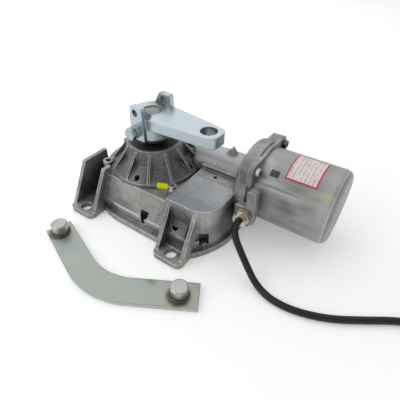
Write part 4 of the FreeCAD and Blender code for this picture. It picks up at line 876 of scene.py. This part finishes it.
@dataclass(frozen=True)
class Motor:
    """The motor shell and the two plates on its side."""

    axis_y: float = 34.0 * MM
    axis_z: float = 54.0 * MM
    half: float = 42.5 * MM
    white_plate: BentPlate = BentPlate("motor_plate", 168.0 * MM, 202.0 * MM, high=71.0, low=128.4)
    dark_plate: BentPlate = BentPlate("dark_plate", 152.5 * MM, 162.0 * MM, high=121.0, low=132.0)
    plate_thick: float = 0.2 * MM
    plate_lift: float = 0.05 * MM
    border: float = 1.7 * MM
    facets: int = 180
    smooth_under: float = 30.0

    def shell_marks_and_light(self) -> tuple[Patch, ...]:
        """Lists the light bands, stains and seam lines of the shell, with painted highlights on its top and
        along its end rim.

        Returns:
            The patches, in the order in which they are laid.
        """
        end = (0.226, self.axis_y, self.axis_z)
        bright_ring = (0.2213, self.axis_y, self.axis_z)
        dark_ring = (0.2232, self.axis_y, self.axis_z)
        seam = (0.04, 1.0, 1.0)
        end_band = Patch(end, 0.010, 0.024, (0.43, 0.44, 0.455), 0.7, SLAB_X)
        # Painted highlight along the top of the shell
        top_highlight = Patch((0.150, 0.034, 0.0965), 0.012, 0.030, (0.40, 0.405, 0.41), 0.6, (0.2, 1.0, 1.0))
        side_rub = Patch((0.201, -0.0084, 0.056), 0.004, 0.014, (0.46, 0.455, 0.44), 0.4)
        smear = Patch((0.203, 0.001, 0.081), 0.001, 0.007, (0.40, 0.39, 0.29), 0.35, (0.3, 1.0, 1.0))
        spot = Patch((0.2148, 0.005, 0.0851), 0.0012, 0.0075, (0.50, 0.48, 0.28), 0.75, (0.75, 1.0, 1.0))
        pale_side = Patch((0.1575, -0.0070, 0.0650), 0.006, 0.016, (0.33, 0.33, 0.325), 0.5, (0.7, 1.0, 1.0))
        ear = Patch((0.1435, 0.0143, 0.0916), 0.006, 0.016, (0.50, 0.505, 0.51), 0.6)
        end_disc = Patch(end, 0.031, 0.0365, (0.33, 0.335, 0.34), 0.5, COLUMN_X)
        seam_dark = Patch((0.165, -0.0011, 0.0779), 0.0004, 0.0016, (0.14, 0.14, 0.137), 0.65, seam)
        seam_light = Patch((0.165, -0.0028, 0.0754), 0.0004, 0.0015, (0.50, 0.50, 0.49), 0.55, seam)
        # Painted highlight along the rounded end rim
        end_rim_highlight = Patch(bright_ring, 0.0004, 0.0012, (0.60, 0.605, 0.61), 0.6, SLAB_X)
        rim_dark = Patch(dark_ring, 0.0003, 0.0010, (0.24, 0.245, 0.25), 0.6, SLAB_X)
        return (
            end_band,
            top_highlight,
            side_rub,
            smear,
            spot,
            pale_side,
            ear,
            end_disc,
            seam_dark,
            seam_light,
            end_rim_highlight,
            rim_dark,
        )

    def dress(self) -> None:
        """Gives the shell its finish."""
        shell = ShellFinish(
            "motor_shell_grey",
            dark=(0.18, 0.181, 0.18),
            light=(0.38, 0.382, 0.38),
            patches=self.shell_marks_and_light(),
        )
        dress_nodes(shell, "motor_can")

    def bend_plate(self, plate: BentPlate, *finishes: Finish) -> bpy.types.Object:
        """Models a thin plate bent round the shell.

        Args:
            plate: where it lies.
            finishes: the border's finish and the face's finish, or one finish for a plain plate.
        Returns:
            The plate.
        """
        bordered = len(finishes) > 1
        bpy.ops.object.select_all(action="DESELECT")
        bpy.ops.mesh.primitive_cylinder_add(
            vertices=self.facets,
            radius=self.half + self.plate_lift,
            depth=plate.right - plate.left,
            end_fill_type="NOTHING",
            location=((plate.left + plate.right) / 2, self.axis_y, self.axis_z),
            rotation=(0.0, math.pi / 2, 0.0),
        )
        piece = settled(bpy.context.object, plate.name)

        def outside(centre: Vector) -> bool:
            """Whether a facet lies outside the plate's stretch of the shell."""
            angle = math.degrees(math.atan2(centre.z - self.axis_z, centre.y - self.axis_y))
            return not plate.high < angle < plate.low

        with editing(piece):
            pick(piece, Pick.FACES, outside)
            bpy.ops.mesh.delete(type="FACE")
            bpy.ops.mesh.select_all(action="SELECT")
            if bordered:
                bpy.ops.mesh.inset(thickness=self.border, depth=0.0, use_boundary=True)
        dress(piece, *[finish.material() for finish in finishes])
        for face in piece.data.polygons:
            face.material_index = 1 if face.select and bordered else 0
        solid = piece.modifiers.new("thickness", "SOLIDIFY")
        solid.thickness = self.plate_thick
        solid.offset = 1.0
        bpy.ops.object.modifier_apply(modifier=solid.name)
        bpy.ops.object.shade_smooth_by_angle(angle=math.radians(self.smooth_under))
        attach(piece, Body.HOUSING.value)
        LOG.info("built %s", piece.name)
        return piece

    def build_plates(self) -> None:
        """Models the blank white plate with its plain border, and the small dark one beside it."""
        border = PlateFinish("plate_border", (0.56, 0.035, 0.045), (0.48, 0.05, 0.055), rough=0.32)
        face = PlateFinish(
            "plate_face",
            (0.80, 0.73, 0.73),
            (0.70, 0.60, 0.60),
            rough=0.32,
            rule=(0.46, 0.30, 0.30),
            rule_share=0.6,
        )
        self.bend_plate(self.white_plate, border, face)
        dark = PlateFinish("dark_plate_face", (0.035, 0.037, 0.04), (0.07, 0.07, 0.07), rough=0.4)
        self.bend_plate(self.dark_plate, dark)


@dataclass(frozen=True)
class Crank:
    """The crank arm with its stop bolt."""

    def dress(self) -> None:
        """Gives the crank its bright zinc plate and the bolt a duller one."""
        # Painted shade on the inner face of the far cheek
        far_cheek_shade = Patch((-0.0076, 0.0204, 0.1245), 0.006, 0.016, (0.19, 0.21, 0.215), 0.68)
        hub_top = Patch((0.0, 0.0, 0.119), 0.012, 0.022, (0.40, 0.40, 0.41), 0.55, (1.0, 1.0, 0.6))
        arm = ZincFinish(
            "crank_zinc",
            (0.475, 0.55, 0.575),
            (0.447, 0.553, 0.625),
            (0.523, 0.565, 0.585),
            rough=(0.26, 0.40),
            patches=(far_cheek_shade, hub_top),
        )
        dress_nodes(arm, "crank_arm")
        bolt = ZincFinish(
            "bolt_zinc",
            (0.43, 0.49, 0.49),
            (0.35, 0.42, 0.43),
            (0.48, 0.50, 0.47),
            rough=(0.24, 0.38),
        )
        dress_nodes(bolt, "stop_bolt", "stop_bolt_nut")


@dataclass(frozen=True)
class LinkBar:
    """The loose link bar with its two pins."""

    pins: tuple[Point, ...] = ((0.1275, -0.1217, 0.006), (-0.0412, -0.1329, 0.006))
    ring_shift: float = 2.0 * MM

    def stains(self) -> tuple[Patch, ...]:
        """Lists the bar's sheared edge, a yellow halo and a brown crescent of rust and painted shadow at
        each pin, and a spot.

        Returns:
            The patches, in the order in which they are laid.
        """
        sheared = Patch(ORIGIN, 0.0030, 0.0054, (0.62, 0.63, 0.56), 0.6, SLAB_Z)
        halos = [Patch(pin, 0.010, 0.022, (0.40, 0.39, 0.28), 0.45) for pin in self.pins]
        # Brown crescents at the front of each pin's foot: rust, and the pin's painted shadow
        rings = [
            Patch((x, y - self.ring_shift, z), 0.0104, 0.0146, (0.08, 0.075, 0.04), 0.8)
            for x, y, z in self.pins
        ]
        spot = Patch((0.0933, -0.1262, 0.006), 0.001, 0.006, (0.22, 0.22, 0.155), 0.6, (0.55, 1.0, 1.0))
        return (sheared, *halos, *rings, spot)

    def dress(self) -> None:
        """Gives the bar its greenish zinc with brown stains and painted shadow round the pins."""
        bar = ZincFinish(
            "link_zinc",
            (0.385, 0.42, 0.385),
            (0.34, 0.415, 0.415),
            (0.43, 0.435, 0.40),
            rough=(0.36, 0.52),
            patches=self.stains(),
        )
        dress_nodes(bar, "link_bar")
        # Dark band round each pin's foot: stain and painted shade
        collar_stain_and_shade = Patch((0.0, 0.0, 0.006), 0.0022, 0.0034, (0.085, 0.08, 0.045), 0.8, SLAB_Z)
        pin = ZincFinish(
            "pin_zinc",
            (0.46, 0.49, 0.45),
            (0.40, 0.45, 0.41),
            (0.50, 0.51, 0.47),
            rough=(0.28, 0.42),
            patches=(collar_stain_and_shade,),
        )
        dress_nodes(pin, "link_pins")


@dataclass(frozen=True)
class Train:
    """The pieces inside: shafts, wheels, bearings and the motor's cores."""

    def dress(self) -> None:
        """Gives the inner pieces their machined finishes."""
        dress_nodes(
            SteelFinish("ground_steel", (0.60, 0.60, 0.61), (0.44, 0.43, 0.42)),
            "crank_key",
            "wheel_key",
            "output_bearing_outers",
            "output_bearing_inners",
            "cross_shaft",
            "cross_bearing_outers",
            "cross_bearing_inners",
            "wheel_spacer",
            "rotor_shaft",
            "motor_bearing_outers",
            "motor_bearing_inners",
        )
        shaft = SteelFinish("shaft_steel", (0.28, 0.272, 0.27), (0.20, 0.194, 0.19), rough=0.34)
        dress_nodes(shaft, "output_shaft")
        bronze = SteelFinish("wheel_bronze", (0.66, 0.44, 0.20), (0.45, 0.28, 0.13))
        dress_nodes(bronze, "main_wheel", "first_wheel")
        copper = SteelFinish("copper", (0.78, 0.40, 0.24), (0.50, 0.22, 0.13))
        dress_nodes(copper, "stator_windings", "cord_cores")
        lamination = SteelFinish("lamination", (0.24, 0.24, 0.25), (0.16, 0.15, 0.15), rough=0.4)
        dress_nodes(lamination, "stator_core", "rotor_core")


@dataclass(frozen=True)
class Lead:
    """The motor lead: out of the gland, over the floor and into a tied coil.

    A lane of the coil is given by whether it is an outer one, and by its layer. Angles are in degrees.
    """

    diameter: float = 7.4 * MM
    length: float = 1.50
    section_steps: int = 6
    length_steps: int = 8
    order: int = 3
    coil_x: float = 372.0 * MM
    coil_y: float = 30.0 * MM
    coil_low: float = 4.55 * MM
    pitch: float = 7.5 * MM
    inner: float = 37.25 * MM
    outer: float = 44.75 * MM
    lanes: tuple[tuple[bool, int], ...] = (
        (True, 0),
        (False, 0),
        (False, 1),
        (True, 1),
        (True, 2),
        (False, 2),
    )
    first_angle: float = -90.0
    first_change: float = 170.0
    change_every: float = 290.0
    change_over: float = 65.0
    last_angle: float = 1620.0
    step: float = 15.0
    route: tuple[Point, ...] = (
        (0.1420, -0.0302, 0.0460),
        (0.1420, -0.0390, 0.0460),
        (0.1440, -0.0460, 0.0440),
        (0.1478, -0.0514, 0.0400),
        (0.1534, -0.0550, 0.0342),
        (0.1646, -0.0600, 0.0234),
        (0.1736, -0.0638, 0.0148),
        (0.1825, -0.0676, 0.0080),
        (0.1935, -0.0716, 0.0045),
        (0.2080, -0.0746, 0.0038),
        (0.2300, -0.0730, 0.0038),
        (0.2590, -0.0625, 0.0038),
        (0.2870, -0.0445, 0.0038),
        (0.3150, -0.0255, 0.0038),
        (0.3440, -0.0154, 0.0042),
    )

    def lane(self, index: int) -> tuple[float, float]:
        """Radius and height of one lane of the coil."""
        wide, layer = self.lanes[index]
        return (self.outer if wide else self.inner), self.coil_low + layer * self.pitch

    def coil(self) -> list[Point]:
        """Works out the coil's turns, which change lane one after another.

        Returns:
            Control points round the coil.
        """
        points = []
        count = int((self.last_angle - self.first_angle) / self.step)
        for i in range(count + 1):
            angle = self.first_angle + i * self.step
            passed = (angle - self.first_change) / self.change_every
            index = max(0, min(len(self.lanes) - 2, math.floor(passed)))
            share = (angle - self.first_change - index * self.change_every) / self.change_over
            share = max(0.0, min(1.0, share))
            share = share * share * (3 - 2 * share)
            (r0, z0), (r1, z1) = self.lane(index), self.lane(index + 1)
            radius = r0 + (r1 - r0) * share
            height = z0 + (z1 - z0) * share
            turn = math.radians(angle)
            x = self.coil_x + radius * math.cos(turn)
            y = self.coil_y + radius * math.sin(turn)
            points.append((x, y, height))
        return points

    def build(self) -> bpy.types.Object:
        """Returns:
            The lead.
        """
        points = [*self.route, *self.coil()]
        curve = bpy.data.curves.new("motor_lead", "CURVE")
        curve.dimensions = "3D"
        curve.bevel_depth = self.diameter / 2
        curve.bevel_resolution = self.section_steps
        curve.resolution_u = self.length_steps
        curve.use_fill_caps = True
        spline = curve.splines.new("NURBS")
        spline.points.add(len(points) - 1)
        for target, point in zip(spline.points, points):
            target.co = (*point, 1.0)
        spline.order_u = self.order
        spline.use_endpoint_u = True
        piece = bpy.data.objects.new("motor_lead", curve)
        bpy.context.scene.collection.objects.link(piece)
        vinyl = SoftFinish(
            "lead_vinyl",
            (0.009, 0.009, 0.009),
            (0.020, 0.020, 0.020),
            rough=0.36,
            gloss=0.4,
        )
        dress(piece, vinyl.material())
        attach(piece, Body.HOUSING.value)
        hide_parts("cord_lead", "cord_coil")
        nylon = SoftFinish("tie_nylon", (0.02, 0.02, 0.02), (0.05, 0.05, 0.05), rough=0.45)
        dress_nodes(nylon, "cord_tie")
        LOG.info("laid %s", piece.name)
        return piece


@dataclass(frozen=True)
class Lamp:
    """A soft square lamp that looks at the object."""

    name: str
    place: Point
    side: float
    power: float
    aim: Point = (0.08, 0.0, 0.05)

    def build(self) -> None:
        """Hangs the lamp."""
        light = bpy.data.lights.new(self.name, "AREA")
        light.size = self.side
        light.energy = self.power
        piece = bpy.data.objects.new(self.name, light)
        piece.location = self.place
        piece.rotation_euler = (Vector(self.aim) - Vector(self.place)).to_track_quat("-Z", "Y").to_euler()
        bpy.context.scene.collection.objects.link(piece)


@dataclass(frozen=True)
class Studio:
    """Pale floor with its backdrop, soft light and the camera at the photograph's angle."""

    camera_at: Point = (0.251354, -0.265193, 0.290975)
    camera_ahead: Point = (-0.4316, 0.6245, -0.6510)
    lens: float = 29.70
    sensor: float = 36.0
    nearest: float = 0.01
    floor_flat: float = 3.0
    floor_facets: int = 96
    cove: float = 2.0
    cove_steps: int = 12
    wall: float = 0.8
    floor_colour: Colour = (0.96, 0.96, 0.96)
    floor_rough: float = 0.9
    floor_glow: float = 0.25
    sky: float = 0.48
    lamps: tuple[Lamp, ...] = (
        Lamp("key_lamp", (-0.55, 0.60, 1.30), side=2.4, power=12.0),
        Lamp("fill_lamp", (-0.6, -1.0, 1.0), side=1.0, power=5.0),
    )

    def rims(self) -> list[tuple[float, float]]:
        """Works out the rings of the floor's rim, from the flat up to the backdrop's top.

        Returns:
            Radius and height of each ring.
        """
        turns = [math.pi / 2 * step / self.cove_steps for step in range(self.cove_steps + 1)]
        rings = [
            (self.floor_flat + self.cove * math.sin(turn), self.cove * (1 - math.cos(turn)))
            for turn in turns
        ]
        return [*rings, (self.floor_flat + self.cove, self.cove + self.wall)]

    def build_floor(self) -> None:
        """Models a round floor whose rim curves up into a plain backdrop."""
        bpy.ops.object.select_all(action="DESELECT")
        bpy.ops.mesh.primitive_circle_add(
            vertices=self.floor_facets, radius=self.floor_flat, fill_type="NGON"
        )
        floor = bpy.context.object
        floor.name = "studio_floor"
        rims = self.rims()
        with editing(floor):
            bpy.ops.mesh.select_mode(type="EDGE")
            bpy.ops.mesh.select_all(action="SELECT")
            for (wide, low), (wider, high) in zip(rims, rims[1:]):
                bpy.ops.mesh.extrude_edges_move(TRANSFORM_OT_translate={"value": (0.0, 0.0, high - low)})
                bpy.ops.transform.resize(value=(wider / wide, wider / wide, 1.0))
        bpy.ops.object.shade_smooth()
        paint = Paint("floor_white")
        rays = ["Is Camera Ray", "Is Glossy Ray", "Is Transmission Ray"]
        seen, mirrored, passed = [paint.node("ShaderNodeLightPath", output=ray) for ray in rays]
        paint.set(
            Base_Color=self.floor_colour,
            Roughness=self.floor_rough,
            Emission_Color=(1.0, 1.0, 1.0),
            Emission_Strength=(seen + mirrored + passed) * self.floor_glow,
        )
        dress(floor, paint.material)

    def build_sky(self) -> None:
        """Sets the even white light from all round."""
        world = bpy.data.worlds.new("studio_sky")
        world.use_nodes = True
        background = world.node_tree.nodes["Background"]
        background.inputs["Color"].default_value = (1.0, 1.0, 1.0, 1.0)
        background.inputs["Strength"].default_value = self.sky
        bpy.context.scene.world = world

    def build_camera(self) -> None:
        """Sets up the camera where the photograph was taken from."""
        data = bpy.data.cameras.new("photo_camera")
        data.lens = self.lens
        data.sensor_width = self.sensor
        data.clip_start = self.nearest
        camera = bpy.data.objects.new("photo_camera", data)
        camera.location = self.camera_at
        camera.rotation_euler = Vector(self.camera_ahead).to_track_quat("-Z", "Y").to_euler()
        bpy.context.scene.collection.objects.link(camera)
        bpy.context.scene.camera = camera

    def build(self) -> None:
        """Sets up floor, sky, lamps and camera."""
        self.build_floor()
        bpy.context.scene.view_settings.view_transform = "Standard"
        self.build_sky()
        for lamp in self.lamps:
            lamp.build()
        self.build_camera()


def main() -> None:
    """Builds every sub-assembly in order."""
    logging.basicConfig(level=logging.INFO)
    Studio().build()
    Lead().build()
    case = GearCase()
    case.dress()
    case.build_plate()
    motor = Motor()
    motor.dress()
    motor.build_plates()
    Crank().dress()
    LinkBar().dress()
    Train().dress()


if __name__ == "__main__":
    main()
